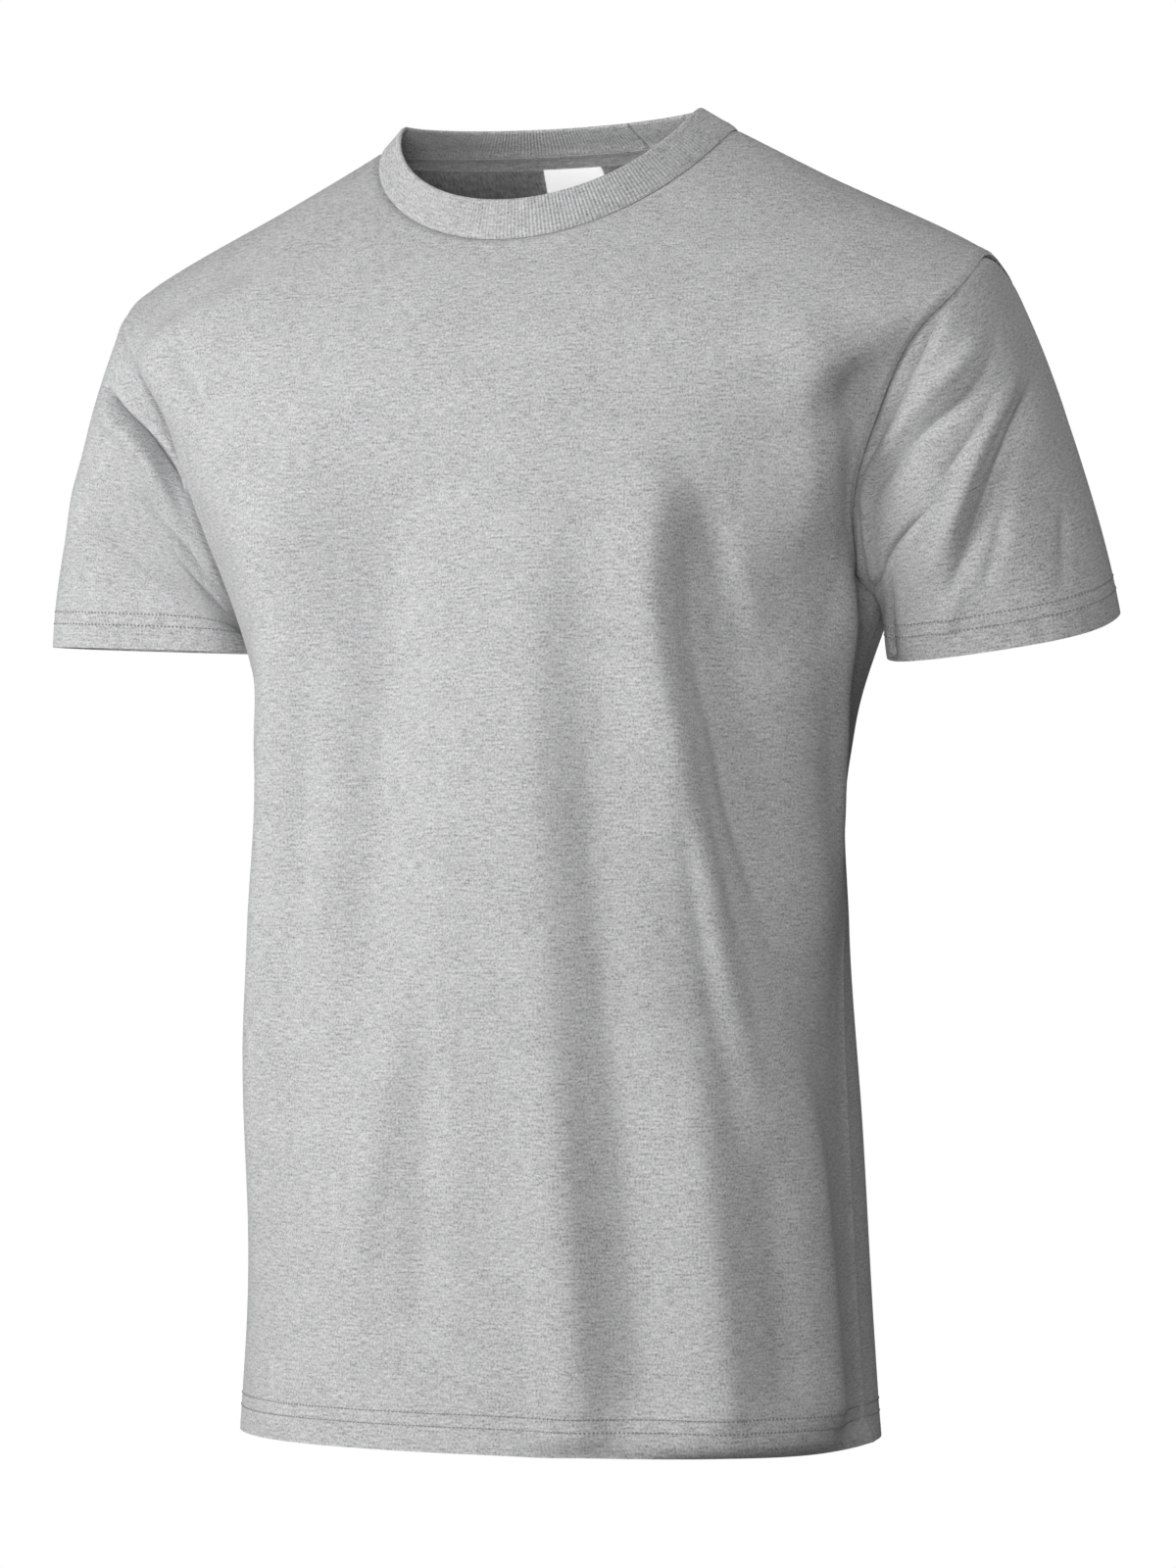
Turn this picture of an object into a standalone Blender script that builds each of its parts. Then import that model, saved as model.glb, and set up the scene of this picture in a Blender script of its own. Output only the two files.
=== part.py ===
"""Crew neck T-shirt in its worn shape, built as the pieces of cloth that a maker cuts and sews.

The shirt stands as if on a wearer: +Z is up, the front faces -Y and the wearer's left is +X.
The origin is the middle of the neck opening, level with the neck ends of the shoulder seams.
All sizes are in metres and all angles in radians.

The front, back, neckband, tape and label follow one smooth form, `body_form`, lofted through the
rings of a table. Each sleeve is a tube that starts on the armhole of that form and ends at its cuff.
Folds are ridges and troughs laid along paths on the cloth. Each piece is a wall between an inner and
an outer sheet of points, and pieces stop just short of their seams.
"""

import math
from collections import namedtuple

import bpy
import numpy as np

# ---- Driving dimensions ----

BODY_LENGTH = 0.683  # side neck point straight down to the hem
CHEST_HALF_WIDTH = 0.1765  # of the worn form, under the arms
SHOULDER_HALF_WIDTH = 0.235  # middle to the end of a shoulder seam
NECK_HALF_WIDTH = 0.098  # middle to the neck seam, at the shoulder
UNDERARM_HEIGHT = -0.248
SHOULDER_DROP = 0.075  # side neck point down to the end of a shoulder seam
ARMHOLE_CUT_FRONT = 0.090  # how far the armhole reaches into the front, in turns round the body
ARMHOLE_CUT_BACK = 0.080
GIRTH = 0.95  # round the body, to place folds across it

CLOTH = 0.0015  # wall of a single layer of jersey
HEM_DEPTH = 0.020
HEM_LAYER = 0.0012  # what the turned-up layer adds on the inside
SEAM_GAP = 0.0003

RIB_CLOTH = 0.0022  # the neckband is rib, folded double
BAND_RIBS = 240
RIB_RELIEF = 0.0005

TAPE_WIDTH = 0.010
TAPE_CLOTH = 0.0010
LABEL_WIDTH = 0.032
LABEL_LENGTH = 0.042
LABEL_CLOTH = 0.0010

# ---- The form of the body ----

# Each ring goes round the body. Its side is where the side and shoulder seams lie, at this height
# and this far back, and its front and back depths are measured from there. Fall shapes how its
# height changes from side to front: 1 is straight and 2 is round. Square bulges its corners.
Ring = namedtuple(
    "Ring", "name half_width height front front_height back back_height middle fall square"
)
RINGS = (
    Ring("hem", 0.1695, -BODY_LENGTH, 0.124, -0.682, 0.120, -0.688, -0.014, 2.0, 0.10),
    Ring("hip", 0.1655, -0.623, 0.123, -0.621, 0.118, -0.620, -0.014, 2.0, 0.10),
    Ring("high hip", 0.161, -0.524, 0.1235, -0.5255, 0.111, -0.525, -0.016, 2.0, 0.10),
    Ring("waist", 0.155, -0.4185, 0.125, -0.423, 0.1035, -0.420, -0.019, 2.0, 0.10),
    Ring("midriff", 0.155, -0.330, 0.126, -0.330, 0.106, -0.335, -0.0175, 2.0, 0.10),
    Ring("underarm", CHEST_HALF_WIDTH, UNDERARM_HEIGHT, 0.1255, -0.256, 0.119, -0.253, -0.010, 2.0, 0.10),
    Ring("mid armhole", 0.224, -0.138, 0.1225, -0.216, 0.1225, -0.170, -0.010, 2.0, 0.06),
    Ring("shoulder", SHOULDER_HALF_WIDTH, -SHOULDER_DROP, 0.111, -0.127, 0.113, -0.090, -0.0145, 2.0, 0.02),
    Ring("yoke", 0.1445, -0.028, 0.092, -0.0855, 0.072, -0.049, -0.0135, 1.78, 0.0),
    Ring("neck", NECK_HALF_WIDTH, -0.0025, 0.0795, -0.0655, 0.0205, -0.0045, -0.0125, 1.16, 0.0),
)
BAND_EDGE = Ring("band edge", 0.0815, 0.008, 0.0645, -0.044, 0.020, 0.006, -0.025, 1.06, 0.0)
RING_NAMES = [ring.name for ring in RINGS]
RING_SIZES = np.array([ring[1:] for ring in RINGS])

# Distance up the middle of the front from the hem to each ring. Rise below is in the same measure.
FRONT_STEPS = np.hypot(np.diff(RING_SIZES[:, 2]), np.diff(RING_SIZES[:, 3]))
RING_RISE = np.concatenate([[0.0], np.cumsum(FRONT_STEPS)])
UNDERARM_RISE = RING_RISE[RING_NAMES.index("underarm")]
SHOULDER_RISE = RING_RISE[RING_NAMES.index("shoulder")]
NECK_RISE = RING_RISE[-1]


def smooth_rows(at, places, rows):
    """The rows of a table read smoothly at any place: a cubic curve through every row."""
    slopes = np.gradient(rows, places, axis=0)
    at = np.clip(at, places[0], places[-1])
    index = np.clip(np.searchsorted(places, at, side="right") - 1, 0, len(places) - 2)
    span = (places[index + 1] - places[index])[..., None]
    t = (at - places[index])[..., None] / span
    start = rows[index] * (1 + 2 * t) * (1 - t) ** 2 + slopes[index] * span * t * (1 - t) ** 2
    end = rows[index + 1] * t * t * (3 - 2 * t) - slopes[index + 1] * span * t * t * (1 - t)
    return start + end


def ring_points(sizes, turn):
    """Points round a ring. Turn 0 is the wearer's left side and 0.25 the middle of the back."""
    half_width, height, front, front_height, back, back_height, middle, fall, square = np.moveaxis(
        sizes, -1, 0
    )
    c, s = np.cos(2 * math.pi * turn), np.sin(2 * math.pi * turn)
    depth = np.where(s < 0, front, back)
    end_height = np.where(s < 0, front_height, back_height)
    half_fall = np.where(s < 0, fall, 2.0) / 2
    start, end = 0.02**half_fall, 1.02**half_fall
    fallen = ((s * s + 0.02) ** half_fall - start) / (end - start)
    x = half_width * c * (1 + square * s * s)
    y = middle + depth * s * (1 + square * c * c)
    z = height + (end_height - height) * fallen
    return np.stack([x, y, z], axis=-1)


def body_form(turn, rise):
    """Points of the body's form with no folds."""
    turn, rise = np.broadcast_arrays(np.asarray(turn, float), np.asarray(rise, float))
    return ring_points(smooth_rows(rise, RING_RISE, RING_SIZES), turn)


def unit(vectors):
    return vectors / np.maximum(np.linalg.norm(vectors, axis=-1, keepdims=True), 1e-12)


def facing(surface, across, along, step=2e-4):
    """Normals of a surface function of two values, along the cross product of its two directions."""
    d_across = surface(across + step, along) - surface(across - step, along)
    d_along = surface(across, along + step) - surface(across, along - step)
    return unit(np.cross(d_across, d_along))


def smoothstep(value):
    value = np.clip(value, 0.0, 1.0)
    return value * value * (3 - 2 * value)


# ---- Folds ----

# A fold runs from its start through its middle to its end. Across and up place it on the cloth,
# height is positive for a ridge and negative for a trough, and width is half its breadth. It fades
# in and out over these shares of its length.
Fold = namedtuple(
    "Fold", "name x0 up0 x1 up1 x2 up2 width height fade_in fade_out"
)
# Across is round the body from the middle of the panel, positive to the wearer's left, and up is
# from the hem.
FRONT_FOLDS = (
    Fold("chest drape", 0.058, 0.470, 0.114, 0.361, 0.150, 0.205, 0.022, -0.009, 0.30, 0.50),
    Fold("beside chest drape", 0.036, 0.482, 0.076, 0.358, 0.100, 0.215, 0.022, 0.005, 0.35, 0.40),
    Fold("armpit drape", 0.064, 0.485, 0.111, 0.424, 0.165, 0.372, 0.016, -0.004, 0.40, 0.40),
    Fold("armhole hollow", 0.112, 0.535, 0.128, 0.457, 0.165, 0.395, 0.016, -0.006, 0.45, 0.35),
    Fold("side roll", 0.150, 0.437, 0.195, 0.379, 0.222, 0.310, 0.017, 0.005, 0.35, 0.40),
    Fold("middle drape", 0.012, 0.480, 0.042, 0.286, 0.055, 0.000, 0.019, -0.006, 0.55, 0.10),
    Fold("middle roll", -0.002, 0.450, 0.010, 0.237, 0.018, 0.030, 0.020, 0.004, 0.40, 0.30),
    Fold("right drape", -0.058, 0.480, -0.092, 0.311, -0.124, 0.090, 0.020, -0.006, 0.40, 0.40),
    Fold("right roll", -0.030, 0.345, -0.050, 0.237, -0.074, 0.090, 0.018, 0.004, 0.40, 0.30),
    Fold("right armhole hollow", -0.112, 0.530, -0.130, 0.455, -0.165, 0.395, 0.016, -0.005, 0.45, 0.35),
    Fold("right side roll", -0.150, 0.430, -0.192, 0.370, -0.215, 0.290, 0.017, 0.005, 0.35, 0.40),
)
BACK_FOLDS = (
    Fold("left blade drape", 0.085, 0.520, 0.080, 0.400, 0.062, 0.240, 0.022, -0.006, 0.40, 0.45),
    Fold("right blade drape", -0.080, 0.510, -0.076, 0.380, -0.052, 0.200, 0.022, -0.006, 0.40, 0.45),
    Fold("left armpit drape", 0.165, 0.430, 0.130, 0.370, 0.090, 0.300, 0.019, -0.005, 0.35, 0.45),
    Fold("right armpit drape", -0.165, 0.435, -0.125, 0.365, -0.085, 0.310, 0.019, -0.005, 0.35, 0.45),
    Fold("left seat roll", 0.070, 0.330, 0.090, 0.180, 0.105, 0.000, 0.022, 0.005, 0.45, 0.10),
    Fold("middle hollow", 0.004, 0.400, -0.004, 0.260, 0.006, 0.060, 0.028, -0.006, 0.40, 0.40),
    Fold("right seat roll", -0.082, 0.310, -0.098, 0.160, -0.120, 0.000, 0.022, 0.005, 0.45, 0.10),
)
# Across is round the sleeve from its top, positive to the back, and up is from the cuff.
SLEEVE_FOLDS = (
    Fold("cap drape", -0.018, 0.135, -0.076, 0.103, -0.108, 0.045, 0.016, -0.006, 0.35, 0.30),
    Fold("over cap drape", -0.030, 0.165, -0.090, 0.135, -0.125, 0.085, 0.016, 0.004, 0.35, 0.30),
    Fold("back drape", 0.040, 0.130, 0.080, 0.095, 0.115, 0.050, 0.017, -0.006, 0.30, 0.30),
)
FOLD_STEPS = np.linspace(0, 1, 25)


def fold_path(fold):
    """Points along a fold, on a curve through its start, middle and end."""
    t = FOLD_STEPS
    start, middle, end = (1 - t) * (1 - 2 * t), 4 * t * (1 - t), t * (2 * t - 1)
    across = fold.x0 * start + fold.x1 * middle + fold.x2 * end
    up = fold.up0 * start + fold.up1 * middle + fold.up2 * end
    return across, up


def fold_lift(folds, across, up):
    """How far the folds lift the cloth at each place."""
    lift = np.zeros(np.shape(across))
    for fold in folds:
        path_across, path_up = fold_path(fold)
        away = np.hypot(across[..., None] - path_across, up[..., None] - path_up)
        place = FOLD_STEPS[away.argmin(axis=-1)]
        fade = smoothstep(place / fold.fade_in) * smoothstep((1 - place) / fold.fade_out)
        lift += fold.height * fade * np.exp(-((away.min(axis=-1) / fold.width) ** 2))
    return lift


def body_surface(turn, rise):
    """The inner face of the front and back, with their folds."""
    turn, rise = np.broadcast_arrays(np.asarray(turn, float), np.asarray(rise, float))
    from_front = (np.mod(turn - 0.25, 1.0) - 0.5) * GIRTH
    from_back = (np.mod(turn + 0.25, 1.0) - 0.5) * GIRTH
    lift = fold_lift(FRONT_FOLDS, from_front, rise) + fold_lift(BACK_FOLDS, -from_back, rise)
    return body_form(turn, rise) + facing(body_form, turn, rise) * lift[..., None]


# ---- Walls and pieces ----


def grid_faces(rows, columns, closed=False):
    """Quads between the points of a sheet, row by row."""
    faces = []
    for row in range(rows - 1):
        for column in range(columns if closed else columns - 1):
            a, b = row * columns + column, row * columns + (column + 1) % columns
            faces.append((a, b, b + columns, a + columns))
    return faces


def wall(inner, outer, closed=False):
    """The points and faces of a wall between two sheets. Closed joins each row into a ring."""
    rows, columns = outer.shape[:2]
    count = rows * columns
    points = np.concatenate([outer.reshape(-1, 3), inner.reshape(-1, 3)])
    faces = grid_faces(rows, columns, closed)
    faces += [tuple(count + corner for corner in reversed(face)) for face in faces]
    bottom = list(range(columns))
    top = [(rows - 1) * columns + column for column in bottom]
    if closed:
        rim = list(zip(bottom[1:] + bottom[:1], bottom)) + list(zip(top, top[1:] + top[:1]))
    else:
        right = [row * columns + columns - 1 for row in range(rows)]
        left = [row * columns for row in range(rows)]
        loop = bottom + right[1:] + top[-2::-1] + left[-2:0:-1]
        rim = list(zip(loop[1:] + loop[:1], loop))
    faces += [(a, b, count + b, count + a) for a, b in rim]
    return points, faces


Finish = namedtuple("Finish", "colour roughness")
JERSEY = Finish((0.48, 0.48, 0.48), 0.92)
RIB = Finish((0.48, 0.48, 0.48), 0.90)
LABEL_RIBBON = Finish((0.86, 0.86, 0.86), 0.60)


def make_material(name, finish):
    material = bpy.data.materials.new(name)
    material.use_nodes = True
    shader = material.node_tree.nodes["Principled BSDF"]
    shader.inputs["Base Color"].default_value = (*finish.colour, 1.0)
    shader.inputs["Roughness"].default_value = finish.roughness
    shader.inputs["Metallic"].default_value = 0.0
    return material


def add_piece(name, walled, finish, collection):
    """One named solid with its own material."""
    points, faces = walled
    mesh = bpy.data.meshes.new(name)
    mesh.from_pydata([tuple(point) for point in points], [], faces)
    mesh.shade_smooth()
    mesh.set_sharp_from_angle(angle=math.radians(50))
    mesh.materials.append(make_material(name + "_cloth", finish))
    piece = bpy.data.objects.new(name, mesh)
    collection.objects.link(piece)
    return piece


# ---- Sleeves ----

# A cuff is an oval round its middle. Tip out raises its outer side, and tip back its back.
Cuff = namedtuple("Cuff", "x y z half_width half_depth tip_out tip_back")
LEFT_CUFF = Cuff(0.2370, 0.004, -0.268, 0.0585, 0.045, 0.12, 0.26)
RIGHT_CUFF = Cuff(0.2375, 0.000, -0.267, 0.0590, 0.042, 0.045, 0.03)
CUFF_SQUARE = 0.20
SLEEVE_GIRTH = 0.36
SLEEVE_LENGTH = 0.20
SLEEVE_SLACK = 0.04  # extra cloth that bows out under the arm
TOP_LEAVES = (0.265, 0.230, -0.810)  # which way the sleeve leaves the seam, at the shoulder
UNDER_LEAVES = (0.800, -0.250, -0.450)  # and under the arm
FLARE = 0.18  # how far front and back also leave forwards and backwards


def armhole_edge(side, w):
    """Turn and rise of the armhole. W goes from the underarm up the front and down the back."""
    angle = 2 * math.pi * w
    deepest = np.where(np.sin(angle) > 0, ARMHOLE_CUT_FRONT, ARMHOLE_CUT_BACK)
    turn = -deepest * np.sin(angle)
    rise = UNDERARM_RISE + (SHOULDER_RISE - UNDERARM_RISE) * (1 - np.cos(angle)) / 2
    return (turn if side > 0 else 0.5 - turn), rise


def cuff_edge(side, w):
    """Points round the cuff, and which way the sleeve points there."""
    cuff = LEFT_CUFF if side > 0 else RIGHT_CUFF
    angle = 2 * math.pi * w[..., None]
    out = np.array([math.cos(cuff.tip_out), 0.0, math.sin(cuff.tip_out)])
    front = np.array([0.0, -math.cos(cuff.tip_back), -math.sin(cuff.tip_back)])
    c, s = np.cos(angle), np.sin(angle)
    edge = np.array([cuff.x, cuff.y, cuff.z]) - out * cuff.half_width * c * (1 + CUFF_SQUARE * s * s)
    edge = edge + front * cuff.half_depth * s * (1 + CUFF_SQUARE * c * c)
    mirror = np.array([side, 1, 1])
    return edge * mirror, unit(np.cross(front, out)) * -mirror


def sleeve_form(side, w, s):
    """A sleeve with no folds, from its armhole at s 0 to its cuff at s 1."""
    start = body_surface(*armhole_edge(side, w))
    end, pointing = cuff_edge(side, w)
    top = (1 - np.cos(2 * math.pi * w[..., None])) / 2
    leaving = np.array(TOP_LEAVES) * top + np.array(UNDER_LEAVES) * (1 - top)
    leaving[..., 1] -= FLARE * np.sin(2 * math.pi * w)
    leaving = unit(leaving) * np.array([side, 1, 1])
    length = np.linalg.norm(end - start, axis=-1, keepdims=True)
    t = s[..., None]
    return (
        start * (1 + 2 * t) * (1 - t) ** 2
        + leaving * (length + SLEEVE_SLACK * (1 - top)) * t * (1 - t) ** 2
        + end * t * t * (3 - 2 * t)
        - pointing * length * t * t * (1 - t)
    )


def sleeve_out(surface, side, w, s):
    """Outward normals of a sleeve."""
    return facing(surface, w, s) * -side


def sleeve_surface(side):
    """The inner face of a sleeve with its folds, as a function of w and s."""

    def plain(w, s):
        return sleeve_form(side, w, s)

    def surface(w, s):
        w, s = np.broadcast_arrays(np.asarray(w, float), np.asarray(s, float))
        across = (np.mod(w, 1.0) - 0.5) * SLEEVE_GIRTH
        lift = fold_lift(SLEEVE_FOLDS, across, (1 - s) * SLEEVE_LENGTH) * smoothstep(s / 0.15)
        return plain(w, s) + sleeve_out(plain, side, w, s) * lift[..., None]

    return surface


def armhole_mitre(side, w):
    """The wall's direction along an armhole seam, shared by both pieces, and its length per wall."""
    body = facing(body_surface, *armhole_edge(side, w))
    sleeve = sleeve_out(sleeve_surface(side), side, w, np.full_like(w, 0.004))
    mitre = unit(body + sleeve)
    return mitre / np.maximum((mitre * body).sum(axis=-1, keepdims=True), 0.5)


def up_from_cuff(surface, w, distance):
    """The s of the points this far up the sleeve from its cuff."""
    s = np.linspace(1.0, 0.3, 30)
    line = surface(w[:, None], s[None, :])
    gone = np.cumsum(np.linalg.norm(np.diff(line, axis=1), axis=-1), axis=1)
    gone = np.concatenate([np.zeros((len(w), 1)), gone], axis=1)
    return np.array([np.interp(distance, far, s) for far in gone])


SLEEVE_COLUMNS = 28
SLEEVE_ROWS = 8


def build_sleeve(name, side, collection):
    surface = sleeve_surface(side)
    column = np.arange(SLEEVE_COLUMNS) / SLEEVE_COLUMNS
    hem_top = up_from_cuff(surface, column, HEM_DEPTH)
    rows = [hem_top * part for part in np.linspace(0, 0.985, SLEEVE_ROWS)]
    s = np.array(rows + [hem_top, np.ones_like(column)])
    s[0] = 0.001
    w = np.broadcast_to(column, s.shape)
    inner = surface(w, s)
    directions = sleeve_out(surface, side, w, s)
    directions[0] = armhole_mitre(side, column)
    outer = inner + directions * CLOTH
    inner[-2:] -= directions[-2:] * HEM_LAYER
    if side > 0:
        inner, outer = inner[:, ::-1], outer[:, ::-1]
    return add_piece(name, wall(inner, outer, closed=True), JERSEY, collection)


# ---- Front and back ----

FRONT_COLUMNS = 30
BACK_COLUMNS = 22
SIDE_ROWS = 12
ARMHOLE_ROWS = SLEEVE_COLUMNS // 2  # so that the armhole's points meet the sleeve's
YOKE_ROWS = 4


def panel_rises():
    """Where a panel's rows lie: evenly beside its seams, and round the armhole."""
    side = np.linspace(HEM_DEPTH + HEM_LAYER, UNDERARM_RISE - SEAM_GAP, SIDE_ROWS)
    steps = np.arange(1, ARMHOLE_ROWS + 1) * math.pi / ARMHOLE_ROWS
    low, high = UNDERARM_RISE - SEAM_GAP, SHOULDER_RISE + SEAM_GAP
    armhole = low + (high - low) * (1 - np.cos(steps)) / 2
    yoke = np.linspace(high, NECK_RISE - SEAM_GAP / 2, YOKE_ROWS + 1)[1:]
    return np.concatenate([[0.0, HEM_DEPTH], side, armhole, yoke])


def armhole_place(rise):
    """How far up the armhole each rise is, from 0 at the underarm to 1 at the shoulder."""
    low, high = UNDERARM_RISE - SEAM_GAP, SHOULDER_RISE + SEAM_GAP
    return np.clip((rise - low) / (high - low), 0, 1)


def panel_turns(rises, middle, deepest, columns):
    """Turns across each row of a panel, from one seam to the other."""
    angle = np.arccos(1 - 2 * armhole_place(rises))
    cut = (deepest + SEAM_GAP / GIRTH) * np.sin(angle)
    width = np.linalg.norm(body_form(0.001, rises) - body_form(-0.001, rises), axis=-1) / 0.002
    reach = 0.25 - np.maximum(cut, SEAM_GAP / 2 / width)
    return middle + reach[:, None] * np.linspace(-1, 1, columns + 1)


def panel_directions(turn, rise, is_front):
    """The wall's direction over a panel: outward, and mitred along the armholes and neck."""
    directions = facing(body_surface, turn, rise)
    place = armhole_place(rise[:, 0])
    at_armhole = (place > 0) | (rise[:, 0] == UNDERARM_RISE - SEAM_GAP)
    at_armhole &= rise[:, 0] <= SHOULDER_RISE + SEAM_GAP
    w = np.arccos(1 - 2 * place[at_armhole]) / (2 * math.pi)
    w = w if is_front else 1 - w
    directions[at_armhole, 0] = armhole_mitre(-1 if is_front else 1, w)
    directions[at_armhole, -1] = armhole_mitre(1 if is_front else -1, w)
    directions[-1] = neck_mitre(turn[-1])
    return directions


def build_panel(name, is_front, columns, collection):
    rises = panel_rises()
    middle, deepest = (0.75, ARMHOLE_CUT_FRONT) if is_front else (0.25, ARMHOLE_CUT_BACK)
    turn = panel_turns(rises, middle, deepest, columns)
    rise = np.repeat(rises[:, None], columns + 1, axis=1)
    inner = body_surface(turn, rise)
    directions = panel_directions(turn, rise, is_front)
    outer = inner + directions * CLOTH
    inner[:2] -= directions[:2] * HEM_LAYER
    return add_piece(name, wall(inner, outer), JERSEY, collection)


# ---- Neckband, tape and label ----


def band_surface(turn, up):
    """The inner face of the neckband, from the neck seam at up 0 to its folded edge at up 1."""
    turn, up = np.broadcast_arrays(np.asarray(turn, float), np.asarray(up, float))
    seam = body_form(turn, np.full_like(turn, NECK_RISE))
    edge = ring_points(np.array(BAND_EDGE[1:]), turn)
    return seam + (edge - seam) * up[..., None]


def neck_mitre(turn):
    """The wall's direction along the neck seam, shared by the panels and the neckband."""
    body = facing(body_surface, turn, np.full_like(turn, NECK_RISE - 0.001))
    band = facing(band_surface, turn, np.full_like(turn, 0.01))
    return unit(body + band)


# Up the neckband's wall, with its inner and outer faces at these shares of its thickness.
BandRow = namedtuple("BandRow", "up inner outer ribbed")
BAND_ROWS = (
    BandRow(0.01, 0.0, 1.0, 1.0),
    BandRow(0.90, 0.0, 1.0, 1.0),
    BandRow(1.00, 0.3, 0.65, 0.0),
)


def build_neckband(collection):
    columns = BAND_RIBS * 2
    column = np.arange(columns) / columns
    turn, up = np.meshgrid(column, [row.up for row in BAND_ROWS])
    surface = band_surface(turn, up)
    directions = facing(band_surface, turn, up)
    directions[0] = neck_mitre(column)
    ribs = np.where(np.arange(columns) % 2 == 0, RIB_RELIEF, 0.0)
    outer_depth = np.array([row.outer * RIB_CLOTH + row.ribbed * ribs for row in BAND_ROWS])
    inner_depth = np.array([row.inner * RIB_CLOTH for row in BAND_ROWS])
    outer = surface + directions * outer_depth[..., None]
    inner = surface + directions * inner_depth[:, None, None]
    return add_piece("neckband", wall(inner, outer, closed=True), RIB, collection)


def below_neck(turn, distance):
    """The rise of the points this far below the neck seam, over the cloth."""
    step = 0.002
    top = body_form(turn, np.full_like(turn, NECK_RISE))
    speed = np.linalg.norm(top - body_form(turn, np.full_like(turn, NECK_RISE - step)), axis=-1)
    return NECK_RISE - distance * step / speed


def back_face(turn, rise):
    """The back's inner face near the neck, flat between the points that the back is made of."""
    columns, rows = np.linspace(0, 0.5, BACK_COLUMNS + 1), panel_rises()
    i = np.clip(np.searchsorted(rows, rise) - 1, 0, len(rows) - 2)
    j = np.clip(np.searchsorted(columns, turn) - 1, 0, BACK_COLUMNS - 1)
    up = ((rise - rows[i]) / (rows[i + 1] - rows[i]))[..., None]
    along = ((turn - columns[j]) / (columns[j + 1] - columns[j]))[..., None]
    low = body_surface(columns[j], rows[i]) * (1 - along) + body_surface(columns[j + 1], rows[i]) * along
    high = body_surface(columns[j], rows[i + 1]) * (1 - along)
    high = high + body_surface(columns[j + 1], rows[i + 1]) * along
    return low * (1 - up) + high * up


def lining_wall(turn, distances, thickness):
    """A wall that lies just inside the back, over these distances below the neck seam."""
    turn, distance = np.meshgrid(turn, distances)
    rise = below_neck(turn, distance)
    surface, inward = back_face(turn, rise), -facing(body_surface, turn, rise)
    return wall(surface + inward * (SEAM_GAP + thickness), surface + inward * SEAM_GAP)


def build_neck_tape(collection):
    turn = np.linspace(0.02, 0.48, 31)
    walled = lining_wall(turn, [TAPE_WIDTH, TAPE_WIDTH / 2, SEAM_GAP], TAPE_CLOTH)
    return add_piece("neck_tape", walled, JERSEY, collection)


def build_label(collection):
    top = TAPE_WIDTH + SEAM_GAP
    across = np.linalg.norm(body_form(0.251, NECK_RISE - 0.006) - body_form(0.249, NECK_RISE - 0.006))
    reach = LABEL_WIDTH / 2 * 0.002 / across
    turn = np.linspace(0.25 - reach, 0.25 + reach, 7)
    walled = lining_wall(turn, np.linspace(top + LABEL_LENGTH, top, 9), LABEL_CLOTH)
    return add_piece("label", walled, LABEL_RIBBON, collection)


# ---- The shirt ----

def main():
    for item in list(bpy.data.objects):
        bpy.data.objects.remove(item, do_unlink=True)
    shirt = bpy.data.collections.new("crew_neck_t_shirt")
    bpy.context.scene.collection.children.link(shirt)
    build_panel("front", True, FRONT_COLUMNS, shirt)
    build_panel("back", False, BACK_COLUMNS, shirt)
    build_sleeve("sleeve_left", 1, shirt)
    build_sleeve("sleeve_right", -1, shirt)
    build_neckband(shirt)
    build_neck_tape(shirt)
    build_label(shirt)


main()
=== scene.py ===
"""Looks of the crew neck T-shirt: heather grey jersey with its folds, seams, stitches and ribbed neck.

Each piece of cloth is a thin shell on the form of its solid: +Z up, front towards -Y, metres.
"""

import math
from collections import namedtuple

import bpy
import numpy as np
from mathutils import Matrix, Vector
from mathutils.kdtree import KDTree


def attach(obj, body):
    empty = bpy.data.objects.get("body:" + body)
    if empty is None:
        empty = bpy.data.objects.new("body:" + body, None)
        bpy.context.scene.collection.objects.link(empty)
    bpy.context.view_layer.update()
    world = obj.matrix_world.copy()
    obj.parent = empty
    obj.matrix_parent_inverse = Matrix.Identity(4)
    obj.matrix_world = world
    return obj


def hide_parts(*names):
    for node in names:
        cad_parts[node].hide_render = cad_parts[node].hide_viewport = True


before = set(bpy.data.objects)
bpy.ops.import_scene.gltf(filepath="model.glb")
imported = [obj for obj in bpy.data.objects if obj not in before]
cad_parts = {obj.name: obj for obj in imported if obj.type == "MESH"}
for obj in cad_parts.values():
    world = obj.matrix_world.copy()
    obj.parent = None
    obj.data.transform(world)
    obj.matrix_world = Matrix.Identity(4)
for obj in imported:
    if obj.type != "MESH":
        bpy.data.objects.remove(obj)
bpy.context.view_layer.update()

# ---- Sizes ----

BODY_LENGTH = 0.683  # side neck point straight down to the hem
CHEST_HALF_WIDTH = 0.1765  # under the arms
SHOULDER_HALF_WIDTH = 0.235  # middle to the end of a shoulder seam
NECK_HALF_WIDTH = 0.098  # middle to the neck seam, at the shoulder
UNDERARM_HEIGHT = -0.248
SHOULDER_DROP = 0.075  # side neck point down to the end of a shoulder seam
ARMHOLE_CUT_FRONT = 0.090  # how far the armhole reaches into the front, in turns round the body
ARMHOLE_CUT_BACK = 0.080
GIRTH = 0.95  # round the body, to place folds across it

CLOTH = 0.0015  # wall of a single layer of jersey
HEM_LAYER = 0.0008  # what the turned-up layer adds on the inside
HEM_DEPTH = 0.020
HEM_STEP = 0.002  # height over which the turned-up layer ends

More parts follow.
